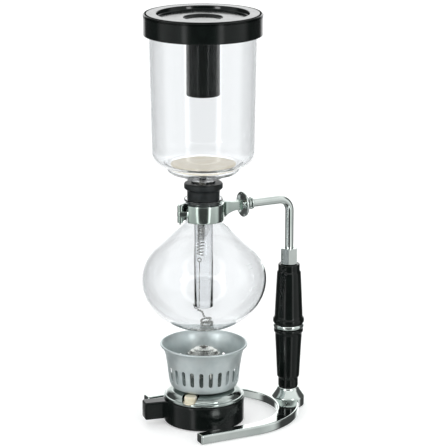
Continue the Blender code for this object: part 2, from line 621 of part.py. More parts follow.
def make_windshield(mats):
    """A thin spun cup with a ring of upright slots, which are cells left out of its grid."""
    side = [(SHIELD_HOLE_R, SHIELD_LOW_Z), (22.6, SHIELD_LOW_Z), (26.6, 30.0), (28.4, SLOT_LOW_Z),
            (29.9, SLOT_TOP_Z), (31.6, 58.0), (33.2, 62.0), (SHIELD_RIM_R, SHIELD_TOP_Z)]
    slot_row = side.index((28.4, SLOT_LOW_Z))
    pitch = 2 * math.pi / SLOTS
    half_slot = SLOT_WIDTH / 2 / 29.2
    bm = bmesh.new()
    columns = []
    for i in range(SLOTS):
        for angle in (i * pitch - half_slot, i * pitch + half_slot):
            columns.append([bm.verts.new((r * math.cos(angle), r * math.sin(angle), z)) for r, z in side])
    for c, column in enumerate(columns):
        following = columns[(c + 1) % len(columns)]
        for row in range(len(side) - 1):
            if c % 2 == 0 and row == slot_row:
                continue
            bm.faces.new((column[row], following[row], following[row + 1], column[row + 1]))
    shield = new_object("windshield", bm, mats["aluminium"])
    wall = shield.modifiers.new("wall", "SOLIDIFY")
    wall.thickness = SHIELD_WALL * MM
    wall.offset = -1.0


# Joints ------------------------------------------------------------------------------------------


def on_axis(name, place, members):
    """Parents the members to an empty that stands on their joint's axis."""
    empty = bpy.data.objects.new(name, None)
    empty.location = Vector(place) * MM
    bpy.context.scene.collection.objects.link(empty)
    for member in members:
        obj = bpy.data.objects[member]
        obj.parent = empty
        obj.matrix_parent_inverse = Matrix.Translation(-empty.location)
    return empty


def make_joints():
    on_axis("clamp_hinge_axis", (PIN_X, 0.0, ROD_Z), ["front_band"])
    on_axis("clamp_nut_axis", (DISC_X, 0.0, ROD_Z), ["clamp_nut"])
    on_axis("bowl_axis", (0.0, 0.0, STOPPER_TOP_Z),
            ["upper_bowl", "stopper", "hook_ring", "hook_wire", "chain_run", "chain_heap"])
    on_axis("filter_axis", (0.0, 0.0, FILTER_LOW_Z),
            ["filter_cloth", "filter_upper_plate", "filter_lower_plate", "filter_spring"])
    on_axis("lid_axis", (0.0, 0.0, LID_TOP_Z), ["lid"])
    on_axis("burner_axis", (0.0, 0.0, 0.0),
            ["burner_tray", "fuel_reservoir", "reservoir_seal", "reservoir_cover", "burner_head", "wick_tube"])
    on_axis("windshield_axis", (0.0, 0.0, SHIELD_LOW_Z), ["windshield"])
    on_axis("wick_axis", (0.0, 0.0, HEAD_TOP_Z), ["wick"])
    on_axis("filler_axis", (*FILLER, FILLER_LOW_Z), ["filler_cap"])


def main():
    clear_scene()
    mats = make_materials()
    make_base(mats)
    make_post(mats)
    make_arm(mats)
    make_clamp(mats)
    make_globe(mats)
    make_bowl(mats)
    make_filter(mats)
    make_chain(mats)
    make_lid(mats)
    make_tray(mats)
    make_reservoir(mats)
    make_head(mats)
    make_windshield(mats)
    make_joints()


main()
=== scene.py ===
"""Table siphon coffee maker: fine surfaces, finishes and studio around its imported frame.

Two borosilicate chambers stand on a chromed horseshoe over a spirit burner. The classes hold their sizes
in millimetres, in the object's own frame: origin on the table under the chambers, +X towards the post,
+Z up. Shell.build turns millimetres into metres, Blender's unit.
"""

import logging
import math
from abc import ABC, abstractmethod
from collections.abc import Callable, Sequence
from dataclasses import dataclass, field
from enum import Enum

import bmesh
import bpy
import numpy as np
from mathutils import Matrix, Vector


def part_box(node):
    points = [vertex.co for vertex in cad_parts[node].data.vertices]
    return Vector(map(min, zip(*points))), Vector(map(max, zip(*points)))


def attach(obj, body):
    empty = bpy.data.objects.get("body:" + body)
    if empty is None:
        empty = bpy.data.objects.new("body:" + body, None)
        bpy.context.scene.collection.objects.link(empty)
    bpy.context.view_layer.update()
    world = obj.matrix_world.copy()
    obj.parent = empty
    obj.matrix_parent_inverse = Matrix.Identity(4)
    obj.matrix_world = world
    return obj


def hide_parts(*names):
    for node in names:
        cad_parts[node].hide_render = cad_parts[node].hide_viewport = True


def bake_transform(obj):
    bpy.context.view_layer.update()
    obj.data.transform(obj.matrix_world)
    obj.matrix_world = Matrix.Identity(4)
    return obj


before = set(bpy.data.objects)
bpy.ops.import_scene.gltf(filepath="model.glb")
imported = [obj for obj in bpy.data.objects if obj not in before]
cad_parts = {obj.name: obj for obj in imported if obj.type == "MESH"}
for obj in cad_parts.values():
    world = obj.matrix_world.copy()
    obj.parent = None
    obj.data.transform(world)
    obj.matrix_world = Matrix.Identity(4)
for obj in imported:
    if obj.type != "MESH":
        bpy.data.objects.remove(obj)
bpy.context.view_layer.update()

MM = 0.001
FULL_TURN = 2.0 * math.pi
LOG = logging.getLogger("siphon")

Array = np.ndarray
Socket = bpy.types.NodeSocket
Swell = Callable[[Array, Array, Array], Array]


class Body(Enum):
    """The moving bodies of the frame that a piece can ride on."""

    STAND = "root"
    FRONT_CLAMP = "front_clamp"
    CLAMP_NUT = "clamp_nut"
    BOWL = "upper_bowl"
    FILTER = "filter"
    LID = "lid"
    BURNER = "burner"
    WINDSHIELD = "windshield"
    WICK = "wick"
    FILLER_CAP = "filler_cap"


# Shapes ------------------------------------------------------------------------------------------


def box_mm(node: str) -> tuple[Array, Array]:
    """Find where a solid of the frame lies.

    Args:
        node: The solid's name.

    Returns:
        Its lowest and highest corners, in millimetres.
    """
    low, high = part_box(node)
    return np.array(low) / MM, np.array(high) / MM


def span(node: str) -> tuple[float, float]:
    """The lowest and highest heights of a solid of the frame, in millimetres."""
    low, high = box_mm(node)
    return low[2], high[2]


def rounded(corners: Sequence[Sequence[float]] | Array, radius: float, steps: int = 5) -> Array:
    """Round the inner corners of an open polyline.

    A corner P becomes the curve (1-t)^2 A + 2t(1-t) P + t^2 B, t from 0 to 1. A and B lie on the two
    neighbouring runs, radius away from P, or 45% of the run where that is less. One more point just
    outside A and B keeps the shading of the long runs flat.

    Args:
        corners: The polyline's points, in two or three dimensions.
        radius: How far from a corner its rounding starts.
        steps: Points on each rounding.

    Returns:
        The rounded polyline as an array of points.
    """
    points = np.asarray(corners, float)
    middle = points[1:-1]
    back = points[:-2] - middle
    ahead = points[2:] - middle
    back_run = np.linalg.norm(back, axis=1, keepdims=True)
    ahead_run = np.linalg.norm(ahead, axis=1, keepdims=True)
    start = middle + back / back_run * np.minimum(radius, 0.45 * back_run)
    stop = middle + ahead / ahead_run * np.minimum(radius, 0.45 * ahead_run)
    before = start + back / back_run * np.minimum(0.25, 0.04 * back_run)
    after = stop + ahead / ahead_run * np.minimum(0.25, 0.04 * ahead_run)
    t = np.linspace(0.0, 1.0, steps)[None, :, None]
    curves = (1 - t) ** 2 * start[:, None] + 2 * t * (1 - t) * middle[:, None] + t**2 * stop[:, None]
    curves = np.concatenate([before[:, None], curves, after[:, None]], axis=1)
    return np.vstack([points[:1], curves.reshape(-1, points.shape[1]), points[-1:]])


def arc(centre: Sequence[float], radius: float, start_deg: float, end_deg: float, steps: int) -> Array:
    """Sample a circle's arc: centre + radius (cos a, sin a), a from start to end, both included."""
    angle = np.radians(np.linspace(start_deg, end_deg, steps + 1))
    return np.stack([centre[0] + radius * np.cos(angle), centre[1] + radius * np.sin(angle)], axis=1)


def evenly(points: Array, spacing: float) -> Array:
    """Read a polyline again at even steps of its own length, about spacing apart."""
    run = np.concatenate([[0.0], np.cumsum(np.linalg.norm(np.diff(points, axis=0), axis=1))])
    at = np.linspace(0.0, run[-1], max(3, round(run[-1] / spacing) + 1))
    return np.stack([np.interp(at, run, points[:, k]) for k in range(points.shape[1])], axis=1)


def smooth_route(knots: Sequence[Sequence[float]] | Array, spacing: float) -> Array:
    """Draw a Catmull-Rom curve through knots.

    Between knots b and c, with a before and d after, the point at t is half of
    2b + (c-a)t + (2a-5b+4c-d)t^2 + (3b-3c+d-a)t^3.

    Args:
        knots: The points that the route passes through.
        spacing: The distance between the returned points.

    Returns:
        Evenly spaced points along the curve.
    """
    k = np.asarray(knots, float)
    k = np.vstack([2 * k[0] - k[1], k, 2 * k[-1] - k[-2]])
    a, b, c, d = (k[i : len(k) - 3 + i, None] for i in range(4))
    t = np.linspace(0.0, 1.0, 24, endpoint=False)[None, :, None]
    curve = 0.5 * (2 * b + (c - a) * t + (2 * a - 5 * b + 4 * c - d) * t**2 + (3 * b - 3 * c + d - a) * t**3)
    return evenly(np.vstack([curve.reshape(-1, k.shape[1]), k[-2]]), spacing)


def turned(profile: Array, segments: int, swell: Swell | None = None) -> Array:
    """Turn a profile about +Z.

    The point at angle a and profile point (r, z) is ((r + s) cos a, (r + s) sin a, z), where s is what
    swell gives for that angle, radius and height.

    Args:
        profile: Points (radius, height).
        segments: Steps of the full turn.
        swell: Adds to the radius, from angle, radius and height.

    Returns:
        A grid of points, angle by profile.
    """
    angle = (np.arange(segments) * FULL_TURN / segments)[:, None]
    radius, height = np.asarray(profile, float).T[:, None, :]
    grown = radius + (swell(angle, radius, height) if swell else 0.0 * angle)
    return np.stack([grown * np.cos(angle), grown * np.sin(angle), height + 0.0 * angle], axis=-1)


def tube(path: Array, radius: float | Array, sides: int, across: Sequence[float] = (0.0, 1.0, 0.0)) -> Array:
    """Carry a circle along a path.

    At each path point with tangent T the circle lies on the unit vectors N = T x across and B = T x N.

    Args:
        path: The centre line, in order.
        radius: The tube's radius, one value or one for each path point.
        sides: Points round the circle.
        across: A direction that the path never runs along.

    Returns:
        A grid of points, path by circle.
    """
    tangent = np.gradient(path, axis=0)
    tangent /= np.linalg.norm(tangent, axis=1, keepdims=True)
    normal = np.cross(tangent, np.asarray(across, float))
    normal /= np.linalg.norm(normal, axis=1, keepdims=True)
    binormal = np.cross(tangent, normal)
    angle = (np.arange(sides) * FULL_TURN / sides)[None, :, None]
    spoke = np.cos(angle) * normal[:, None] + np.sin(angle) * binormal[:, None]
    return path[:, None] + np.broadcast_to(radius, len(path))[:, None, None] * spoke


def ball_grids(centres: Array, radius: float, around: int = 10, down: int = 7) -> Array:
    """Make one sphere grid for each centre: centre + radius (sin b cos a, sin b sin a, cos b)."""
    a = (np.arange(around) * FULL_TURN / around)[:, None]
    b = np.linspace(0.0, math.pi, down)[None, :]
    unit = np.stack([np.sin(b) * np.cos(a), np.sin(b) * np.sin(a), np.cos(b) + 0.0 * a], axis=-1)
    return np.asarray(centres, float)[:, None, None] + radius * unit


def laid_along_x(grid: Array) -> Array:
    """Lay a shape turned about +Z along +X: (x, y, z) becomes (z, y, -x)."""
    return np.stack([grid[..., 2], grid[..., 1], -grid[..., 0]], axis=-1)


def hexagon(flats: float, low: float, high: float, bore: float, chamfer: float = 30.0) -> Array:
    """Shape a hexagon nut with one corner towards +X, its ends turned to a cone.

    The radius at angle a is flats/2 / cos(a') with a' the angle from the nearest flat's middle, and never
    more than the chamfer cone, which leaves flats/2 at each end face.

    Args:
        flats: Width across flats.
        low: Height of the lower face.
        high: Height of the upper face.
        bore: Radius of the hole.
        chamfer: The cone's slope, in degrees.

    Returns:
        A closed grid, angle by section.
    """
    angle = (np.arange(120) * FULL_TURN / 120)[:, None]
    from_flat = np.mod(angle, math.pi / 3) - math.pi / 6
    height = np.concatenate([[low, low], np.linspace(low, low + 1.4, 7),
                             np.linspace(high - 1.4, high, 7), [high, high]])
    depth = np.minimum(height - low, high - height)[None, :]
    cone = flats / 2 - 0.1 + depth / math.tan(math.radians(chamfer))
    side = np.minimum(flats / 2 / np.cos(from_flat), cone)
    bored = np.zeros(len(height), bool)
    bored[[0, -1]] = True
    radius = np.where(bored[None, :], bore, side)
    return np.stack([radius * np.cos(angle), radius * np.sin(angle), height + 0.0 * angle], axis=-1)


@dataclass
class Shell:
    """Grids of points, in millimetres, gathered into one piece's mesh."""

    name: str
    points: list[Array] = field(default_factory=list)
    faces: list[list[int]] = field(default_factory=list)

    def add(self, grid: Array, around: bool = True, along: bool = False, caps: bool = False,
            flip: bool = False) -> "Shell":
        """Add a grid's quads.

        Args:
            grid: Points in rows and columns.
            around: Whether the last row joins the first.
            along: Whether the last column joins the first.
            caps: Whether the first and last rows are closed by a face each.
            flip: Whether the faces are turned over.

        Returns:
            The shell itself, so that calls can follow each other.
        """
        rows, columns = grid.shape[:2]
        index = sum(map(len, self.points)) + np.arange(rows * columns).reshape(rows, columns)
        if caps:
            self.faces += [index[0].tolist(), index[-1, ::-1].tolist()]
        index = np.vstack([index, index[:1]]) if around else index
        index = np.hstack([index, index[:, :1]]) if along else index
        quads = np.stack([index[:-1, :-1], index[1:, :-1], index[1:, 1:], index[:-1, 1:]], axis=-1)
        quads = quads.reshape(-1, 4)
        self.points.append(grid.reshape(-1, 3))
        self.faces += (quads[:, ::-1] if flip else quads).tolist()
        return self

    def moved(self, offset: Sequence[float]) -> "Shell":
        """Move everything gathered so far by an offset."""
        self.points = [points + np.asarray(offset, float) for points in self.points]
        return self

    def build(self, finish: "Finish", body: Body, replaces: Sequence[str] = (), smooth_deg: float = 38.0,
              sheet: bool = False) -> bpy.types.Object:
        """Make the piece and let it ride on its body.

        Args:
            finish: What its surface is.
            body: The body that it moves with.
            replaces: The frame's solids that it stands for.
            smooth_deg: Edges sharper than this stay crisp.
            sheet: Whether the mesh is an open sheet that a later modifier thickens. Its faces already
                point outwards, so they aren't turned.

        Returns:
            The new object, at the origin, in metres.
        """
        mesh = bpy.data.meshes.new(self.name)
        mesh.from_pydata((np.concatenate(self.points) * MM).tolist(), [], self.faces)
        work = bmesh.new()
        work.from_mesh(mesh)
        bmesh.ops.remove_doubles(work, verts=work.verts, dist=0.002 * MM)
        if not sheet:
            bmesh.ops.recalc_face_normals(work, faces=work.faces)
        work.to_mesh(mesh)
        work.free()
        mesh.shade_smooth()
        mesh.set_sharp_from_angle(angle=math.radians(smooth_deg))
        mesh.materials.append(finish.material())
        piece = bpy.data.objects.new(self.name, mesh)
        bpy.context.scene.collection.objects.link(piece)
        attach(piece, body.value)
        if replaces:
            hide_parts(*replaces)
        # Light reaches what is inside the glass instead of stopping at it.
        piece.visible_shadow = piece.visible_diffuse = finish is not GLASS
        LOG.info("%s: %d faces on %s, %s", self.name, len(mesh.polygons), body.value, finish.name)
        return piece


def carve(piece: bpy.types.Object, cutter: Shell, finish: "Finish") -> None:
    """Cut a shape out of a piece for good, with an exact Boolean whose result becomes the mesh."""
    tool = cutter.build(finish, Body.STAND)
    cut = piece.modifiers.new("cut", "BOOLEAN")
    cut.operation = "DIFFERENCE"
    cut.object = tool
    graph = bpy.context.evaluated_depsgraph_get()
    mesh = bpy.data.meshes.new_from_object(piece.evaluated_get(graph))
    piece.modifiers.remove(cut)
    piece.data = mesh
    mesh.shade_smooth()
    mesh.set_sharp_from_angle(angle=math.radians(38.0))
    bpy.data.objects.remove(tool)


# Finishes ----------------------------------------------------------------------------------------


def linear(code: str) -> tuple[float, float, float, float]:
    """Turn an sRGB hex value such as #d9dedd into a linear colour with full alpha."""
    parts = [int(code[i : i + 2], 16) / 255 for i in (1, 3, 5)]
    return (*(c / 12.92 if c <= 0.04045 else ((c + 0.055) / 1.055) ** 2.4 for c in parts), 1.0)


def per_metre(size_mm: float) -> float:
    """How many features of a size in millimetres fit in a metre, which is a texture's scale."""
    return 1.0 / (size_mm * MM)


def add_node(tree: bpy.types.NodeTree, kind: str, inputs: dict | None = None,
             **settings: object) -> bpy.types.Node:
    """Add a node with its settings and links.

    Args:
        tree: The node tree.
        kind: The node's type.
        inputs: For each input's name or index, a value, or the output that feeds it.
        settings: The node's own properties.

    Returns:
        The new node.
    """
    node = tree.nodes.new(kind)
    for name, value in settings.items():
        setattr(node, name, value)
    for name, value in (inputs or {}).items():
        if isinstance(value, bpy.types.NodeSocket):
            tree.links.new(value, node.inputs[name])
        else:
            node.inputs[name].default_value = value
    return node


def calc(tree: bpy.types.NodeTree, operation: str, *values: float | Socket) -> Socket:
    """Work out a Math node's operation on the values, in their order."""
    return add_node(tree, "ShaderNodeMath", dict(enumerate(values)), operation=operation).outputs[0]


def remap(tree: bpy.types.NodeTree, value: Socket, source: tuple[float, float],
          target: tuple[float, float] = (0.0, 1.0), smooth: bool = False) -> Socket:
    """Carry a value from one range to another, and hold it at the ends.

    Args:
        tree: The node tree.
        value: The socket that gives the value.
        source: The range that it comes from.
        target: The range that it goes to.
        smooth: Whether the change eases in and out.

    Returns:
        The socket that gives the new value.
    """
    return add_node(tree, "ShaderNodeMapRange", {
        "Value": value, "From Min": source[0], "From Max": source[1],
        "To Min": target[0], "To Max": target[1]},
        interpolation_type="SMOOTHSTEP" if smooth else "LINEAR").outputs["Result"]


@dataclass
class Surface:
    """One material's nodes: the tree, its shader, and the place on the piece, in metres."""

    tree: bpy.types.NodeTree
    shader: bpy.types.Node
    place: Socket

    def noise(self, size_mm: float, detail: float) -> Socket:
        """Give random values in features of a size in millimetres."""
        return add_node(self.tree, "ShaderNodeTexNoise", {
            "Vector": self.place, "Scale": per_metre(size_mm), "Detail": detail}).outputs["Fac"]

    def uneven(self, size_mm: float, low: float, high: float) -> Socket:
        """Vary softly between two values, in patches of a size in millimetres."""
        return remap(self.tree, self.noise(size_mm, 3.0), (0.3, 0.7), (low, high))

    def shine(self, size_mm: float, low: float, high: float) -> None:
        """Let the roughness vary softly between two values."""
        self.tree.links.new(self.uneven(size_mm, low, high), self.shader.inputs["Roughness"])

    def tint(self, factor: Socket, first: str | Socket,
             second: str) -> Socket:
        """Mix two colours into the base colour.

        Args:
            factor: The second colour's share.
            first: An sRGB hex value, or a socket that gives the colour.
            second: An sRGB hex value.

        Returns:
            The socket that gives the mixed colour.
        """
        start = linear(first) if isinstance(first, str) else first
        mixed = add_node(self.tree, "ShaderNodeMix", {"Factor": factor, 6: start, 7: linear(second)},
                         data_type="RGBA").outputs[2]
        self.tree.links.new(mixed, self.shader.inputs["Base Color"])
        return mixed

    def relief(self, height: Socket, depth_mm: float, strength: float,
               under: Socket | None = None) -> Socket:
        """Raise the surface by a pattern.

        Args:
            height: The pattern's height, from 0 to 1.
            depth_mm: How deep it is.
            strength: How much of it shows.
            under: The relief that it lies on, if any.

        Returns:
            The socket that gives the normal.
        """
        inputs = {"Height": height, "Distance": depth_mm * MM, "Strength": strength}
        if under:
            inputs["Normal"] = under
        normal = add_node(self.tree, "ShaderNodeBump", inputs).outputs["Normal"]
        self.tree.links.new(normal, self.shader.inputs["Normal"])
        return normal


@dataclass(frozen=True)
class Finish(ABC):
    """A real surface finish: one Principled shader and the pattern that feeds it."""

    name: str
    slot: str
    colour: str
    roughness: float
    metallic: float = 0.0
    specular: float = 0.5

    def material(self) -> bpy.types.Material:
        """Return this finish's material, made the first time that it is asked for."""
        found = bpy.data.materials.get(self.name)
        if found:
            return found
        made = bpy.data.materials.new(self.name)
        made.use_nodes = True
        tree = made.node_tree
        shader = tree.nodes["Principled BSDF"]
        shader.inputs["Base Color"].default_value = linear(self.colour)
        shader.inputs["Roughness"].default_value = self.roughness
        shader.inputs["Metallic"].default_value = self.metallic
        shader.inputs["Specular IOR Level"].default_value = self.specular
        made.diffuse_color = linear(self.colour)
        self.pattern(Surface(tree, shader, add_node(tree, "ShaderNodeTexCoord").outputs["Object"]))
        return made

    @abstractmethod
    def pattern(self, on: Surface) -> None:
        """Add this finish's nodes between the place on the piece and the shader."""


@dataclass(frozen=True)
class ChromePlate(Finish):
    """Bright nickel-chrome plate on cast and pressed metal: mirror-like, cool, a little wavy and handled."""

    worn: str = "#c6cfcb"
    wave_mm: float = 16.0
    wave_depth: float = 0.05

    def pattern(self, on: Surface) -> None:
        """Wavy base metal under the plate, and faint wipe marks."""
        on.relief(on.noise(self.wave_mm, 1.0), self.wave_depth, 0.6)
        on.shine(7.0, self.roughness * 0.6, self.roughness * 1.7)
        on.tint(on.uneven(22.0, 0.0, 1.0), self.colour, self.worn)


@dataclass(frozen=True)
class SpunAluminium(Finish):
    """Soft aluminium sheet spun to shape and etched satin: pale blue-grey, with fine turning lines."""

    line_mm: float = 0.8

    def pattern(self, on: Surface) -> None:
        """Turning lines round the cup, etched grain, and cloudy patches."""
        lines = add_node(on.tree, "ShaderNodeTexWave", {
            "Vector": on.place, "Scale": per_metre(self.line_mm) / 20.0, "Distortion": 0.6, "Detail": 2.0},
            wave_type="BANDS", bands_direction="Z")
        turned_lines = on.relief(lines.outputs["Fac"], 0.012, 0.7)
        on.relief(on.noise(0.5, 4.0), 0.03, 0.5, turned_lines)
        on.tint(on.uneven(9.0, 0.0, 1.0), self.colour, "#bcc7c8")
        on.shine(5.0, self.roughness - 0.05, self.roughness + 0.07)


@dataclass(frozen=True)
class LathePolishedSteel(Finish):
    """Stainless sheet polished on a lathe: bright, with concentric rings about the burner's axis."""

    ring_mm: float = 1.3

    def pattern(self, on: Surface) -> None:
        """Rings by distance from the axis, and fine polishing haze."""
        flat = add_node(on.tree, "ShaderNodeVectorMath", {0: on.place, 1: (1.0, 1.0, 0.0)},
                        operation="MULTIPLY")
        reach = add_node(on.tree, "ShaderNodeVectorMath", {0: flat.outputs[0]}, operation="LENGTH")
        ring = calc(on.tree, "MULTIPLY", reach.outputs["Value"], FULL_TURN * per_metre(self.ring_mm))
        on.relief(calc(on.tree, "SINE", ring), 0.02, 0.5)
        on.shine(2.5, self.roughness * 0.7, self.roughness * 1.5)


@dataclass(frozen=True)
class DrawnSteel(Finish):
    """Drawn or rolled stainless steel, as on springs, hooks, chain and washers: grey, softly bright."""

    grain_mm: float = 0.6

    def pattern(self, on: Surface) -> None:
        """Fine drawing marks and a patchy shine."""
        on.relief(on.noise(self.grain_mm, 3.0), 0.01, 0.4)
        on.shine(4.0, self.roughness * 0.7, self.roughness * 1.5)


@dataclass(frozen=True)
class GlossPhenolic(Finish):
    """Compression-moulded black phenolic, polished: deep green-black, wet gloss, the faintest orange peel."""

    def pattern(self, on: Surface) -> None:
        """Orange peel from the mould, and dull patches from handling."""
        on.relief(on.noise(2.4, 2.0), 0.012, 0.5)
        on.shine(12.0, self.roughness * 0.75, self.roughness * 1.5)
        on.tint(on.uneven(8.0, 0.0, 1.0), self.colour, "#0e1412")


@dataclass(frozen=True)
class MouldedRubber(Finish):
    """Black natural rubber from a fine-blasted mould: matt, with a dusty bloom."""

    def pattern(self, on: Surface) -> None:
        """Fine matt grain, and bloom in soft patches."""
        on.relief(on.noise(0.7, 4.0), 0.04, 0.5)
        on.tint(on.uneven(6.0, 0.0, 1.0), self.colour, "#23282a")
        on.shine(3.0, self.roughness - 0.08, self.roughness + 0.1)


@dataclass(frozen=True)
class BlownBorosilicate(Finish):
    """Heat-proof borosilicate glass blown in a mould: clear, index 1.473, with the slightest wander."""

    def pattern(self, on: Surface) -> None:
        """Slow waves left by blowing."""
        on.shader.inputs["Transmission Weight"].default_value = 1.0
        on.shader.inputs["IOR"].default_value = 1.473
        on.relief(on.noise(30.0, 0.0), 0.08, 0.35)


@dataclass(frozen=True)
class NappedFlannel(Finish):
    """Unbleached cotton flannel: warm beige, a plain weave of 0.8 mm under a raised nap."""

    thread_mm: float = 0.8

    def pattern(self, on: Surface) -> None:
        """Crossed threads, nap, and coffee oil stains."""
        on.shader.inputs["Sheen Weight"].default_value = 0.35
        on.shader.inputs["Sheen Roughness"].default_value = 0.6
        step = FULL_TURN * per_metre(self.thread_mm)
        apart = add_node(on.tree, "ShaderNodeSeparateXYZ", {0: on.place}).outputs
        warp, weft = (calc(on.tree, "SINE", calc(on.tree, "MULTIPLY", apart[k], step)) for k in (0, 1))
        threads = on.relief(calc(on.tree, "MULTIPLY", warp, weft), 0.08, 0.6)
        on.relief(on.noise(0.5, 5.0), 0.25, 0.7, threads)
        on.tint(on.uneven(8.0, 0.0, 1.0), self.colour, "#eae0cb")


@dataclass(frozen=True)
class CottonYarn(Finish):
    """Loose cotton yarn, as in a wick or a drawstring: off-white and fuzzy, charred above a height."""

    char_z: float = 1000.0

    def pattern(self, on: Surface) -> None:
        """Fibres at random, uneven bleaching, and char towards the flame."""
        on.shader.inputs["Sheen Weight"].default_value = 0.4
        on.relief(on.noise(0.35, 5.0), 0.2, 0.8)
        yarn = on.tint(on.uneven(3.0, 0.0, 1.0), self.colour, "#d2c8ad")
        height = add_node(on.tree, "ShaderNodeSeparateXYZ", {0: on.place}).outputs[2]
        on.tint(remap(on.tree, height, ((self.char_z - 2.5) * MM, self.char_z * MM)), yarn, "#1d1a17")


@dataclass(frozen=True)
class MouldedNylon(Finish):
    """Ivory nylon from a plain mould: waxy, a little see-through at its edges."""

    def pattern(self, on: Surface) -> None:
        """Light carried under the skin, flow marks and a fine grain."""
        on.shader.inputs["Subsurface Weight"].default_value = 0.25
        on.shader.inputs["Subsurface Radius"].default_value = (1.0, 0.8, 0.5)
        on.shader.inputs["Subsurface Scale"].default_value = 1.2 * MM
        on.relief(on.noise(0.9, 3.0), 0.03, 0.5)
        on.tint(on.uneven(5.0, 0.0, 1.0), self.colour, "#d9d2bb")


@dataclass(frozen=True)
class FiredEnamel(Finish):
    """White enamel fired on glass, for level marks: thin, chalky, with pinholes."""

    def pattern(self, on: Surface) -> None:
        """Pinholes and thin spots."""
        on.relief(on.noise(0.4, 2.0), 0.02, 0.5)
        on.shine(1.0, self.roughness - 0.1, self.roughness + 0.1)


CHROME = ChromePlate("bright_chrome_plate", "chrome", "#d9dfdc", 0.055, 1.0)
# The same bright chrome plate, coloured darker: the dark tone is a painted reflection of a dim room round the
# burner, not a darker plating.
COVER_CHROME_WITH_PAINTED_REFLECTION = ChromePlate("chrome_plate_with_painted_dark_reflection", "chrome", "#737b78", 0.055, 1.0)
BAND_CHROME = ChromePlate("pressed_band_chrome", "chrome", "#bfcac4", 0.11, 1.0, worn="#a9b7b0", wave_mm=9.0,
                          wave_depth=0.12)
ALUMINIUM = SpunAluminium("spun_satin_aluminium", "aluminium", "#cdd5d5", 0.42, 0.66)
HEAD_STEEL = LathePolishedSteel("lathe_polished_stainless", "steel", "#a9aca8", 0.2, 1.0)
STEEL = DrawnSteel("drawn_stainless_steel", "steel", "#b9bab6", 0.24, 1.0)
BLACK = GlossPhenolic("gloss_black_phenolic", "black_plastic", "#090d0c", 0.12, specular=0.26)
RUBBER = MouldedRubber("moulded_black_rubber", "rubber", "#0d1111", 0.45, specular=0.3)
GLASS = BlownBorosilicate("blown_borosilicate_glass", "glass", "#f5f6f7", 0.0)
FLANNEL = NappedFlannel("napped_cotton_flannel", "filter_cotton", "#f3ecdd", 0.95)
YARN = CottonYarn("loose_cotton_yarn", "wick_cotton", "#e7e1cf", 0.95)
IVORY = MouldedNylon("moulded_ivory_nylon", "ivory_nylon", "#e6e1d0", 0.42)
WICK_YARN = CottonYarn("charred_wick_yarn", "wick_cotton", "#e7e1cf", 0.95, char_z=60.8)
ENAMEL = FiredEnamel("fired_white_enamel", "glass", "#dfe4e5", 0.5)


# Sub-assemblies ----------------------------------------------------------------------------------


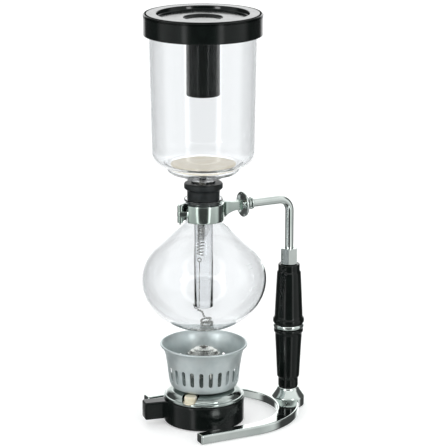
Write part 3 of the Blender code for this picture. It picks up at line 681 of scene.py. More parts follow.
@dataclass
class Stand:
    """The chromed horseshoe casting and the cone that carries the post."""

    bar_height: float = 7.5
    edge_round: float = 1.1
    leg_inner_y: float = 46.0
    bend_x: float = 16.0
    outer_arc_x: float = 20.0
    outer_arc_r: float = 63.9
    post_x: float = 78.0
    boss_r: float = 13.7
    boss_z: float = 8.2
    cone_top_r: float = 8.7
    bore_r: float = 3.8
    pocket_r: float = 8.0
    pocket_z: float = 6.6

    def rails(self, low: Array, high: Array) -> tuple[Array, Array]:
        """Trace the bar's inner and outer edges, seen from above, from one tip to the other.

        Along the legs both run straight. Round the bend the inner edge is a half circle, and the outer
        one is two arcs that meet at +X. Both are read at the same fractions of each stretch.

        Args:
            low: The casting's lowest corner.
            high: The casting's highest corner.

        Returns:
            The inner and the outer edge, as matching rows of (x, y).
        """
        outer_y = high[1]
        rise = outer_y - self.outer_arc_r
        meet = math.degrees(math.asin(-rise / self.outer_arc_r))
        steps = 40
        leg = np.linspace(0.0, 1.0, 16, endpoint=False)[:, None]
        inner_leg = (1 - leg) * [low[0], -self.leg_inner_y] + leg * [self.bend_x, -self.leg_inner_y]
        outer_leg = (1 - leg) * [low[0], -outer_y] + leg * [self.outer_arc_x, -outer_y]
        inner = np.vstack([inner_leg, arc((self.bend_x, 0.0), self.leg_inner_y, -90.0, 0.0, steps)])
        outer = np.vstack([outer_leg, arc((self.outer_arc_x, -rise), self.outer_arc_r, -90.0, -meet, steps)])
        mirror = np.array([1.0, -1.0])
        return np.vstack([inner, inner[-2::-1] * mirror]), np.vstack([outer, outer[-2::-1] * mirror])

    def bar(self) -> Shell:
        """Carry a rounded section along the two edges.

        A section point is inner edge + across (offset + share * width) at its height. At each tip the
        section draws in by r (1 - cos a) while it moves on by r sin a, a from 0 to 90 degrees, and the
        last section is closed flat.

        Returns:
            The bar's shell.
        """
        low, high = box_mm("horseshoe_base")
        inner, outer = self.rails(low, high)
        turn = np.radians(np.linspace(90.0, 0.0, 6))
        draw_in = self.edge_round * (1 - np.cos(turn))
        # The first and last rows are repeated for the rounded tips, which end where the bar does.
        along = self.edge_round * np.sin(turn)
        extra = len(turn)
        inner, outer = (np.vstack([np.repeat(edge[:1], extra, axis=0), edge[1:-1],
                                   np.repeat(edge[-1:], extra, axis=0)]) for edge in (inner, outer))
        rows = len(inner)
        shift = np.zeros(rows)
        shift[:extra] = self.edge_round - along
        shift[-extra:] = (self.edge_round - along)[::-1]
        inset = np.zeros(rows)
        inset[:extra] = draw_in
        inset[-extra:] = draw_in[::-1]
        width = np.linalg.norm(outer - inner, axis=1)
        across = (outer - inner) / width[:, None]
        half = rounded([(3.2, 0.0), (0.0, 0.0), (0.0, self.bar_height), (3.2, self.bar_height)],
                       self.edge_round * 1.25, 7)
        offset = np.concatenate([half[:, 0], -half[::-1, 0]])
        share = np.repeat([0.0, 1.0], len(half))
        height = np.concatenate([half[:, 1], half[::-1, 1]])
        offset = offset[None, :] + inset[:, None] * np.where(share > 0, -1.0, 1.0)[None, :]
        flat = inner[:, None] + across[:, None] * (offset + share[None, :] * width[:, None])[..., None]
        squeezed = inset[:, None] + height[None, :] * (1 - 2 * inset[:, None] / self.bar_height)
        x = flat[..., 0] + shift[:, None]
        return Shell("horseshoe_bar").add(np.stack([x, flat[..., 1], squeezed], axis=-1), around=False,
                                          along=True, caps=True)

    def pocket(self) -> Shell:
        """The recess under the post for its nut, as a cutter."""
        profile = np.array([(0.0, -1.0), (self.pocket_r, -1.0), (self.pocket_r, self.pocket_z),
                            (self.bore_r, self.pocket_z), (self.bore_r, 20.0), (0.0, 20.0)])
        return Shell("pocket_cutter").add(turned(profile, 64)).moved((self.post_x, 0.0, 0.0))

    def build(self) -> None:
        """Make the bar, cut its nut pocket, and set the post's cone on it."""
        bar = self.bar().build(CHROME, Body.STAND, ["horseshoe_base"])
        carve(bar, self.pocket(), CHROME)
        top = box_mm("horseshoe_base")[1][2]
        outer = rounded([(self.bore_r, top), (self.cone_top_r, top), (self.cone_top_r + 0.5, top - 1.8),
                         (self.boss_r - 0.9, self.boss_z + 0.9), (self.boss_r, self.boss_z - 0.6),
                         (self.boss_r, 0.5), (self.boss_r - 0.6, 0.0), (self.pocket_r, 0.0)], 1.1, 6)
        profile = np.vstack([outer, [(self.pocket_r, self.pocket_z), (self.bore_r, self.pocket_z)]])
        cone = Shell("post_pedestal").add(turned(profile, 128), along=True).moved((self.post_x, 0.0, 0.0))
        cone.build(CHROME, Body.STAND)


@dataclass
class Post:
    """The bent rod, the two black grips on it, the ring between them and the nuts."""

    rod_r: float = 3.5
    bend_r: float = 10.0
    clearance: float = 0.3
    arm_z: float = 177.0
    post_x: float = 78.0

    def stack(self, name: str, profile: Sequence[Sequence[float]], round_by: float, finish: Finish) -> None:
        """Turn one sleeve on the post, bored for the rod, in place of the solid of the same name."""
        bore = self.rod_r + self.clearance
        outer = rounded([(bore, profile[0][1]), *profile, (bore, profile[-1][1])], round_by, 5)
        Shell(f"{name}_turned").add(turned(outer, 128), along=True).moved((self.post_x, 0.0, 0.0)).build(
            finish, Body.STAND, [name])

    def build(self) -> None:
        """Make the grips, ring and nuts up the post, then the rod."""
        low, top = span("lower_grip")
        self.stack("lower_grip", [(11.8, top), (12.2, top - 0.6), (12.2, 64.2), (11.5, 63.4), (11.2, 62.2),
                                  (10.2, 43.0), (9.3, 25.2), (8.6, 24.2), (8.25, 23.2), (8.25, low + 0.5),
                                  (7.8, low)], 0.5, BLACK)
        low, top = span("grip_ring")
        self.stack("grip_ring", [(11.6, top), (12.7, top - 1.0), (12.7, low + 1.0), (11.6, low)], 0.9, CHROME)
        low, top = span("upper_grip")
        self.stack("upper_grip", [(8.4, top), (8.95, top - 0.6), (8.95, 116.4), (9.2, 115.7), (9.9, 114.8),
                                  (10.9, 95.0), (11.7, 77.4), (12.1, 76.1), (12.9, 75.1), (13.0, 72.8),
                                  (12.4, low)], 0.5, BLACK)
        bore = self.rod_r + self.clearance
        for name, flats, finish in (("grip_nut", 13.2, CHROME), ("base_nut", 11.0, STEEL)):
            low, top = span(name)
            Shell(f"{name}_hexagon").add(hexagon(flats, low, top, bore), along=True).moved(
                (self.post_x, 0.0, 0.0)).build(finish, Body.STAND, [name], 20.0)
        self.rod()

    def rod(self) -> None:
        """Carry the rod's circle along the arm, a quarter turn, and down the post, with domed ends."""
        low, _ = box_mm("arm_rod")
        elbow = arc((self.post_x - self.bend_r, self.arm_z - self.bend_r), self.bend_r, 90.0, 0.0, 24)
        ends = np.array([[low[0], self.arm_z]]), np.array([[self.post_x, low[2]]])
        flat = evenly(np.vstack([ends[0], elbow, ends[1]]), 1.5)
        path = np.stack([flat[:, 0], 0.0 * flat[:, 0], flat[:, 1]], axis=1)
        radius = np.full(len(path), self.rod_r)
        radius[[0, -1]] = self.rod_r - 0.5
        Shell("arm_rod_bent").add(tube(path, radius, 40), around=False, along=True, caps=True).build(
            CHROME, Body.STAND, ["arm_rod"], 50.0)


@dataclass
class NeckClamp:
    """Two pressed half bands hinged on a pin, drawn together at the arm by a dished nut."""

    band_r: float = 15.75
    band_thick: float = 1.5
    ear_thick: float = 1.9
    ear_y: float = 1.35
    open_deg: float = 15.0
    barrel_r: float = 1.75
    barrel_thick: float = 1.3
    crown: float = 0.28

    def strip(self, name: str, path: Array, thick: Array, low: Array, top: Array) -> Shell:
        """Carry an upright, softly crowned section along a path seen from above.

        A section point is path + normal (side * (thick/2 + crown (1 - h^2)) ) at a height that runs from
        low to top as h runs from -1 to 1, with its edges rounded.

        Args:
            name: The piece's name.
            path: Points (x, y) of the strip's middle.
            thick: Thickness at each path point.
            low: Lower edge's height at each path point.
            top: Upper edge's height at each path point.

        Returns:
            The strip's shell.
        """
        tangent = np.gradient(path, axis=0)
        tangent /= np.linalg.norm(tangent, axis=1, keepdims=True)
        normal = np.stack([tangent[:, 1], -tangent[:, 0]], axis=1)
        # Half a section from the lower to the upper edge: (share of half thickness, share of half height).
        edge = rounded([(0.0, -1.0), (1.0, -1.0), (1.0, 1.0), (0.0, 1.0)], 0.12, 5)
        inner = edge[1:-1][::-1] * [-1.0, 1.0]
        share, level = np.vstack([edge, inner]).T
        bulge = np.sign(share) * self.crown * (1 - level**2) * (share > 0)
        wide = share[None, :] * (thick[:, None] / 2) + bulge
        tall = (top + low)[:, None] / 2 + level[None, :] * (top - low)[:, None] / 2
        flat = path[:, None] + normal[:, None] * wide[..., None]
        grid = np.concatenate([flat, tall[..., None]], axis=-1)
        return Shell(name).add(grid, around=False, along=True, caps=True)

    def half(self, side: int) -> tuple[Array, Array, Array, Array]:
        """Plan one half band and its ear.

        From the hinge side the middle line follows the neck, leaves it 24 degrees before the arm, and
        bends out along the ear by a cubic curve. Heights narrow smoothly towards the ear's tip.

        Args:
            side: +1 for the rear half, -1 for the front half.

        Returns:
            The path, thickness, and lower and upper heights at each path point.
        """
        low, top = span("rear_band")
        tip_x = box_mm("rear_band")[1][0]
        round_neck = arc((0.0, 0.0), self.band_r, 180.0 - self.open_deg, 24.0, 60)
        start = round_neck[-1]
        heading = np.array([math.sin(math.radians(24.0)), -math.cos(math.radians(24.0))])
        t = np.linspace(0.0, 1.0, 16)[1:, None]
        end = np.array([22.5, self.ear_y])
        leave = ((1 - t) ** 3 * start + 3 * t * (1 - t) ** 2 * (start + 4.2 * heading)
                 + 3 * t**2 * (1 - t) * (end - [4.0, 0.0]) + t**3 * end)
        tongue = np.stack([np.linspace(22.5, tip_x, 14)[1:], np.full(13, self.ear_y)], axis=1)
        path = np.vstack([round_neck, leave, tongue])
        x = path[:, 0] * (path[:, 1] < 9.0)
        stations = [14.5, 18.0, 22.0, 26.0, 30.0, tip_x]
        upper = np.interp(x, stations, [top, top - 0.6, 181.1, 180.2, 180.3, 180.9])
        lower = np.interp(x, stations, [low, low + 0.9, 171.6, 173.0, 173.4, 173.0])
        thick = np.interp(x, [14.5, 20.0], [self.band_thick, self.ear_thick])
        kernel = np.ones(5) / 5
        upper, lower = (np.convolve(np.pad(h, 2, mode="edge"), kernel, "valid") for h in (upper, lower))
        return path * [1.0, side], thick, lower, upper

    def barrel(self, name: str, side: int, low: float, top: float, body: Body) -> None:
        """Roll one hinge leaf: three quarters round the pin, then straight to its band's end."""
        pin_x = (box_mm("hinge_pin")[0][0] + box_mm("hinge_pin")[1][0]) / 2
        roll = arc((pin_x, 0.0), self.barrel_r, -60.0, 240.0, 40)
        end_deg = math.radians(180.0 + self.open_deg)
        end = self.band_r * np.array([math.cos(end_deg), math.sin(end_deg)])
        path = evenly(rounded(np.vstack([roll, [end - [1.2, -0.6]], [end + [0.3, -0.9]]]), 0.6, 3), 0.25)
        count = len(path)
        strip = self.strip(name, path * [1.0, -side], np.full(count, self.barrel_thick), np.full(count, low),
                           np.full(count, top))
        strip.build(BAND_CHROME, body, (), 45.0)

    def build(self) -> None:
        """Make both half bands with their hinge leaves, the pin, the nut and the arm's collar."""
        for side, name, body in ((1, "rear_band", Body.STAND), (-1, "front_band", Body.FRONT_CLAMP)):
            self.strip(f"{name}_pressed", *self.half(side)).build(BAND_CHROME, body, [name], 45.0)
        low, top = span("rear_band")
        third = (top - low) / 3
        self.barrel("front_hinge_leaf", -1, low + third + 0.15, top - third - 0.15, Body.FRONT_CLAMP)
        self.barrel("rear_hinge_leaf_low", 1, low, low + third - 0.15, Body.STAND)
        self.barrel("rear_hinge_leaf_top", 1, top - third + 0.15, top, Body.STAND)
        pin_low, pin_high = box_mm("hinge_pin")
        pin = rounded([(0.0, pin_high[2]), (1.3, pin_high[2]), (1.9, pin_high[2] - 0.5), (1.9, top + 0.3),
                       (0.9, top + 0.3), (0.9, pin_low[2] + 0.5), (0.5, pin_low[2]), (0.0, pin_low[2])], 0.4, 4)
        centre = (pin_low + pin_high) / 2
        Shell("hinge_pin_riveted").add(turned(pin, 40)).moved((centre[0], centre[1], 0.0)).build(
            CHROME, Body.STAND, ["hinge_pin"])
        self.nut()

    def nut(self) -> None:
        """Turn the dished nut, hollow towards the ears, and the arm's collar, both about the arm."""
        low, high = box_mm("clamp_nut")
        rim = (high[2] - low[2]) / 2
        centre_z = (high[2] + low[2]) / 2
        dish = rounded([(3.8, 2.6), (4.6, 2.5), (7.4, 1.6), (rim - 0.9, 0.0), (rim - 0.2, 0.0), (rim, 0.6),
                        (rim - 0.2, 1.5), (7.4, 3.5), (5.5, 4.3), (5.3, 5.7), (3.8, 5.9)], 0.7, 6)
        Shell("clamp_nut_dished").add(laid_along_x(turned(dish, 128)), along=True).moved(
            (low[0], 0.0, centre_z)).build(CHROME, Body.CLAMP_NUT, ["clamp_nut"])
        low, high = box_mm("arm_collar")
        reach = (high[2] - low[2]) / 2
        ring = rounded([(3.8, 0.0), (reach, 0.0), (reach, 1.6), (3.8, 1.6)], 0.4, 5)
        Shell("arm_collar_turned").add(laid_along_x(turned(ring, 64)), along=True).moved(
            (low[0], 0.0, centre_z)).build(CHROME, Body.STAND, ["arm_collar"])


class LevelMark(Enum):
    """The generic marks on the globe: height in mm, and half length in degrees; the first is a small ring."""

    RING = (151.0, 2.1)
    UPPER = (138.6, 5.0)
    MIDDLE = (135.4, 3.2)
    LOWER = (120.8, 4.0)


@dataclass
class Globe:
    """The lower chamber: a flattened globe that passes by a cone into a straight neck with a flared lip."""

    half_width: float = 50.7
    half_height: float = 42.4
    centre_z: float = 119.6
    wall: float = 1.3
    shoulder_r: float = 35.6
    neck_r: float = 14.7
    neck_corner_z: float = 167.9
    mark_deg: float = -63.5
    mark_rise: float = 0.06

    def side(self, inset: float) -> Array:
        """Trace the wall set in by inset: the ellipse from its foot to the shoulder, then the cone's foot.

        The ellipse is (a sin t, z0 - c cos t), t from 0 to where the radius has come back to the shoulder's.
        """
        a, c = self.half_width - inset, self.half_height - inset
        t = np.linspace(0.0, math.pi - math.asin((self.shoulder_r - inset) / a), 72)
        return np.stack([a * np.sin(t), self.centre_z - c * np.cos(t)], axis=1)

    def radius_at(self, height: Array | float) -> Array:
        """The outer radius at a height: a sqrt(1 - ((z - z0)/c)^2)."""
        return self.half_width * np.sqrt(1 - ((height - self.centre_z) / self.half_height) ** 2)

    def mark(self, name: str, path: Array) -> None:
        """Print one raised line of enamel along a path of (degrees, height) on the globe."""
        angle = np.radians(self.mark_deg + path[:, 0])
        radius = self.radius_at(path[:, 1]) + self.mark_rise
        line = np.stack([radius * np.cos(angle), radius * np.sin(angle), path[:, 1]], axis=1)
        outward = line - [0.0, 0.0, self.centre_z]
        outward /= np.linalg.norm(outward, axis=1, keepdims=True)
        along = np.gradient(line, axis=0)
        beside = np.cross(along / np.linalg.norm(along, axis=1, keepdims=True), outward)
        grid = np.stack([line - 0.3 * beside, line + 0.12 * outward, line + 0.3 * beside,
                         line - 0.2 * outward], axis=1)
        Shell(name).add(grid, around=False, along=True, caps=True).build(ENAMEL, Body.STAND, (), 60.0)

    def build(self) -> None:
        """Turn the glass with both its walls, and print the level marks."""
        top = box_mm("globe_upper_half")[1][2]
        outer = self.side(0.0)
        inner = self.side(self.wall)
        throat = self.neck_r - self.wall - 0.1
        outer = np.vstack([outer[:-1], rounded([outer[-1], (self.neck_r, self.neck_corner_z),
                                                (self.neck_r, 182.3), (15.6, 184.6), (15.9, 185.6),
                                                (15.3, top), (14.6, top), (13.9, 185.2), (throat, 183.0),
                                                (throat, self.neck_corner_z - 0.5), inner[-1]], 2.2, 7)])
        Shell("glass_globe_blown").add(turned(np.vstack([outer, inner[-2::-1]]), 192)).build(
            GLASS, Body.STAND, ["globe_lower_half", "globe_upper_half"], 60.0)
        for mark in LevelMark:
            height, reach = mark.value
            turn = np.linspace(0.0, FULL_TURN, 25)
            if mark is LevelMark.RING:
                path = np.stack([reach * np.cos(turn), height + 1.4 * np.sin(turn)], axis=1)
            else:
                path = np.stack([np.linspace(-reach, reach, 16), np.full(16, height)], axis=1)
            self.mark(f"level_mark_{mark.name.lower()}", path)


@dataclass
class UpperBowl:
    """The upper chamber with its seat and stem, and the rubber stopper on the stem."""

    top_r: float = 44.0
    low_r: float = 42.0
    corner_z: float = 226.0
    corner_r: float = 12.0
    wall: float = 1.4
    dish_r: float = 30.4
    stem_r: float = 7.7
    stem_wall: float = 1.2
    clearance: float = 0.3

    def side(self, inset: float) -> Array:
        """Trace the glass from below its rim down to the stem's foot, set in by inset."""
        low, high = box_mm("upper_bowl")
        corner = arc((self.low_r - self.corner_r, self.corner_z), self.corner_r - inset, 0.0, -78.0, 22)
        stem = self.stem_r - (self.stem_wall if inset else 0.0)
        seat = rounded([corner[-1], (self.dish_r + 0.4 - inset, 213.4 + inset),
                        (self.dish_r - inset, 211.6 + 0.5 * inset), (29.4 - inset, 209.4 + 0.5 * inset),
                        (26.0 - 0.6 * inset, 207.3 + inset), (20.0, 205.2 + inset),
                        (13.0 - 0.4 * inset, 202.6 + 0.8 * inset), (stem + 1.5, 199.8 + 0.4 * inset),
                        (stem + 0.2, 196.0), (stem, 192.0), (stem, low[2] + 0.4)], 2.4, 6)
        rim = [(self.top_r - inset, high[2] - 0.5), (self.top_r - 0.02 - inset, high[2] - 1.5),
               ((self.top_r + self.low_r) / 2 - inset, 275.0)]
        return np.vstack([rim, corner[:-1], seat])

    def build(self) -> None:
        """Turn the glass with both its walls, fire-polished at the rim and the foot, then the stopper."""
        low, high = box_mm("upper_bowl")
        outer, inner = self.side(0.0), self.side(self.wall)
        middle = self.top_r - self.wall / 2
        rim = [(middle - 0.45, high[2] - 0.1), (middle, high[2]), (middle + 0.45, high[2] - 0.1)]
        tip = self.stem_r - self.stem_wall / 2
        foot = [(tip + 0.35, low[2] + 0.08), (tip, low[2]), (tip - 0.35, low[2] + 0.08)]
        profile = np.vstack([rim, outer, foot, inner[::-1]])
        Shell("upper_bowl_blown").add(turned(profile, 192), along=True).build(
            GLASS, Body.BOWL, ["upper_bowl"], 60.0)
        self.stopper()

    def stopper(self) -> None:
        """Turn the stopper: a chamfered flange over a tapered plug, bored for the stem."""
        low, high = span("stopper")
        flange_r = box_mm("stopper")[1][0]
        bore = self.stem_r + self.clearance
        plug = rounded([(bore + 1.7, high), (flange_r - 0.8, high), (flange_r, high - 0.9),
                        (flange_r, high - 4.1), (flange_r - 1.4, high - 5.3), (13.1, high - 5.9),
                        (12.9, 186.0), (12.2, low + 0.8), (11.4, low), (bore, low)], 0.6, 5)
        profile = np.vstack([plug, [(bore, 191.0), (bore + 0.4, 196.4)]])
        Shell("stopper_moulded").add(turned(profile, 96), along=True).build(RUBBER, Body.BOWL, ["stopper"])


@dataclass
class FilterSet:
    """The gathered flannel on its plates, the spring through the stem, and the hooked wire below it."""

    cloth_r: float = 26.4
    thread: float = 0.5
    pleats: int = 34
    gather_r: float = 9.6
    coil_r: float = 2.55
    wire_r: float = 0.4
    dense_pitch: float = 1.3
    open_turns: float = 5.0
    dense_end_z: float = 152.0
    hook_wire_r: float = 0.42
    ring_r: float = 1.5
    cut_side: float = 0.080

    def cloth(self) -> bpy.types.Object:
        """Shape the flannel: flat over the plate, turned down, and drawn in below in pleats.

        From the rim inwards under the plate the height swings by a cosine of the angle, in narrow pleats
        whose depth grows towards the drawstring, and the side is puckered the same way.

        Returns:
            The cloth.
        """
        low, top = span("filter_cloth")
        outline = rounded([(0.02, top - 0.05), (self.cloth_r - 1.7, top - 0.05), (self.cloth_r, top - 1.5),
                           (self.cloth_r - 0.3, low + 2.4), (self.cloth_r - 2.8, low + 0.5),
                           (self.gather_r, low + 0.9)], 1.4, 9)
        outline = evenly(outline, 0.55)
        grid = turned(outline, 272)
        angle = (np.arange(272) * FULL_TURN / 272)[:, None]
        radius, height = outline.T[:, None, :]
        under = np.clip((top - 1.5 - height) / 2.0, 0.0, 1.0)
        gathered = under * np.clip((self.cloth_r + 2.0 - radius) / (self.cloth_r - self.gather_r), 0.0, 1.0)
        wander = 0.35 * np.sin(3.0 * angle + 0.7) + 0.25 * np.sin(7.0 * angle)
        fold = np.cos(self.pleats * angle + wander)
        grid[..., 2] += 0.32 * gathered * fold + 0.05 * (1 - under) * np.sin(5.0 * angle + 0.3 * radius)
        pucker = 1 + 0.006 * under * (fold - 1.0)
        grid[..., :2] *= pucker[..., None]
        cloth = Shell("filter_flannel").add(grid, flip=True).build(
            FLANNEL, Body.FILTER, ["filter_cloth"], 80.0, sheet=True)
        wall = cloth.modifiers.new("cloth_thickness", "SOLIDIFY")
        wall.thickness = self.thread * MM
        wall.offset = -1.0
        return cloth

    def drawstring(self) -> bpy.types.Object:
        """Carry two twisted yarns round the cloth's hole, each turning about the circle between them."""
        low = box_mm("filter_cloth")[0][2]
        turn = np.linspace(0.0, FULL_TURN, 240, endpoint=False)
        shell = Shell("filter_drawstring")
        for phase in (0.0, math.pi):
            twist = 30 * turn + phase
            reach = self.gather_r - 0.1 + 0.28 * np.cos(twist)
            path = np.stack([reach * np.cos(turn), reach * np.sin(turn),
                             low + 0.95 + 0.28 * np.sin(twist)], axis=1)
            shell.add(tube(path, 0.33, 8, (0.0, 0.0, 1.0)), along=True)
        return shell.build(YARN, Body.FILTER)

    def spring(self) -> None:
        """Wind the spring: close turns down to the neck, then five that have been pulled open.

        The wire's centre at turn t is the axis point at its height + r (cos 2 pi t, sin 2 pi t, 0), the
        height falling evenly on each stretch and the axis leaning with it.
        """
        low, high = box_mm("filter_spring")
        foot = np.array([low[0] + 3.0, 1.0, 139.5])
        top_z = high[2] - 0.6
        dense = (top_z - self.dense_end_z) / self.dense_pitch
        turns = np.arange(0.0, dense + self.open_turns, 1 / 18)
        height = np.interp(turns, [0.0, dense, dense + self.open_turns], [top_z, self.dense_end_z, foot[2]])
        lean = ((high[2] - height) / (high[2] - foot[2]))[:, None]
        centre = lean * foot[None, :2]
        coil = self.coil_r * np.stack([np.cos(FULL_TURN * turns), np.sin(FULL_TURN * turns)], axis=1)
        path = np.concatenate([centre + coil, height[:, None]], axis=1)
        spring = Shell("filter_spring_wound").add(tube(path, self.wire_r, 8, (0.0, 0.0, 1.0)), around=False,
                                                  along=True, caps=True)
        piece = spring.build(STEEL, Body.BOWL, ["filter_spring"], 80.0)
        piece.parent = None
        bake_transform(piece)

    def hook(self) -> None:
        """Bend the wire ring under the spring, and the long wire that hooks under the stem's foot."""
        low, high = box_mm("hook_ring")
        centre = (low + high) / 2
        turn = np.linspace(0.0, FULL_TURN, 40, endpoint=False)
        loop = centre + self.ring_r * np.stack([np.cos(turn), 0 * turn, np.sin(turn)], axis=1)
        Shell("hook_ring_bent").add(tube(loop, self.hook_wire_r, 10), along=True).build(
            STEEL, Body.BOWL, ["hook_ring"], 80.0)
        x, y, z = centre
        knots = [(x, y, z - 1.9), (x, y, z - 3.2), (x - 0.1, y, 120.0), (x - 0.3, y, 104.0),
                 (x - 0.7, 0.8, 97.0),
                 (x - 1.8, 0.4, 95.2), (x - 3.6, 0.1, 94.7), (x - 5.2, 0.0, 95.6), (x - 5.7, 0.0, 98.2)]
        path = smooth_route(knots, 0.7)
        wire = Shell("hook_wire_bent").add(tube(path, self.hook_wire_r, 10), around=False, along=True,
                                           caps=True)
        wire.add(ball_grids(path[-1:], 0.85, 20, 13)[0]).build(STEEL, Body.BOWL, ["hook_wire"], 80.0)

    def build(self) -> None:
        """Make the cloth with its drawstring, then the spring and hook."""
        cloth, string = self.cloth(), self.drawstring()
        self.spring()
        self.hook()


@dataclass
class BallChain:
    """The ball chain that hangs from the hook and ends in a small heap on the globe's floor."""

    bead_r: float = 0.9
    pitch: float = 2.0
    link_r: float = 0.26
    heap_centre: tuple[float, float] = (2.4, -1.2)
    heap_r: float = 4.5
    heap_turns: float = 2.8
    heap_start_deg: float = -101.5
    floor_z: float = 79.75
    run: tuple[tuple[float, float, float], ...] = (
        (-5.0, 0.0, 93.2), (-3.6, -0.2, 92.5), (-2.0, -0.4, 91.6), (-1.0, -0.6, 89.6), (-0.2, -0.8, 87.4),
        (0.8, -1.0, 85.9))

    def route(self) -> Array:
        """Follow the run down, then wind into the heap while sinking to the floor.

        In the heap the point at turn t is centre + r (cos a, sin a) + shift exp(-4 t), a = a0 + 2 pi t. The
        shift makes the first turn start at the run's end.
        """
        turns = np.linspace(0.1, self.heap_turns, 36)
        start = math.radians(self.heap_start_deg)
        angle = start + FULL_TURN * turns
        reach = self.heap_r + 0.3 * np.sin(3.1 * FULL_TURN * turns)
        centre = np.array(self.heap_centre)
        first = centre + self.heap_r * np.array([math.cos(start), math.sin(start)])
        shift = np.array(self.run[-1][:2]) - first
        coil = reach[:, None] * np.stack([np.cos(angle), np.sin(angle)], axis=1)
        place = centre + coil + shift * np.exp(-4.0 * turns)[:, None]
        drop = self.run[-1][2] - 0.9 - self.floor_z
        height = self.floor_z + drop * np.clip(1 - turns / (self.heap_turns - 0.9), 0.0, 1.0)
        heap = np.concatenate([place, height[:, None]], axis=1)
        return smooth_route(np.vstack([self.run, heap]), 0.4)

    def build(self) -> None:
        """String the beads on the route, with the short links between them."""
        path = self.route()
        beads = evenly(path, self.pitch)
        chain = Shell("ball_chain")
        for grid in ball_grids(beads, self.bead_r):
            chain.add(grid)
        chain.add(tube(path, self.link_r, 6, (0.31, 0.22, 0.93)), around=False, along=True, caps=True)
        piece = chain.build(STEEL, Body.BOWL, ["chain_run", "chain_heap"], 80.0)


@dataclass
class Lid:
    """One black moulding: a capping rim, a sunk panel with a dimple, and the socket for the stem."""

    panel_r: float = 36.3
    panel_z: float = 331.8
    dimple_r: float = 15.2
    dimple_z: float = 330.1
    wall: float = 2.3
    socket_r: float = 13.4
    socket_in_r: float = 11.6
    bowl_r: float = 44.0

    def build(self) -> None:
        """Turn the lid in one profile, from the dimple's middle over the rim and down to the socket."""
        low, high = box_mm("lid")
        rim_r, top = high[0], high[2]
        skirt = 318.0
        under = self.panel_z - self.wall
        over = rounded([(0.0, self.dimple_z), (self.dimple_r - 0.3, self.dimple_z),
                        (self.dimple_r + 0.3, self.panel_z), (self.panel_r - 0.2, self.panel_z),
                        (self.panel_r + 0.4, top), (rim_r, top), (rim_r, skirt), (self.bowl_r + 0.8, skirt),
                        (self.bowl_r + 0.5, top - 2.6), (self.panel_r + 2.4, top - 2.6),
                        (self.panel_r + 2.2, under), (self.socket_r, under), (self.socket_r, low[2]),
                        (self.socket_in_r, low[2]), (self.socket_in_r, self.dimple_z - self.wall),
                        (0.0, self.dimple_z - self.wall)], 0.8, 6)
        corner = rounded([(self.panel_r + 5.0, top), (rim_r, top), (rim_r, top - 7.0)], 2.3, 10)
        sharp = (np.abs(over[:, 0] - rim_r) < 0.9) & (over[:, 1] > top - 1.0)
        first = int(np.argmax(sharp))
        last = len(sharp) - int(np.argmax(sharp[::-1]))
        profile = np.vstack([over[:first], corner[1:-1], over[last:]])
        Shell("lid_moulded").add(turned(profile, 192)).build(BLACK, Body.LID, ["lid"])


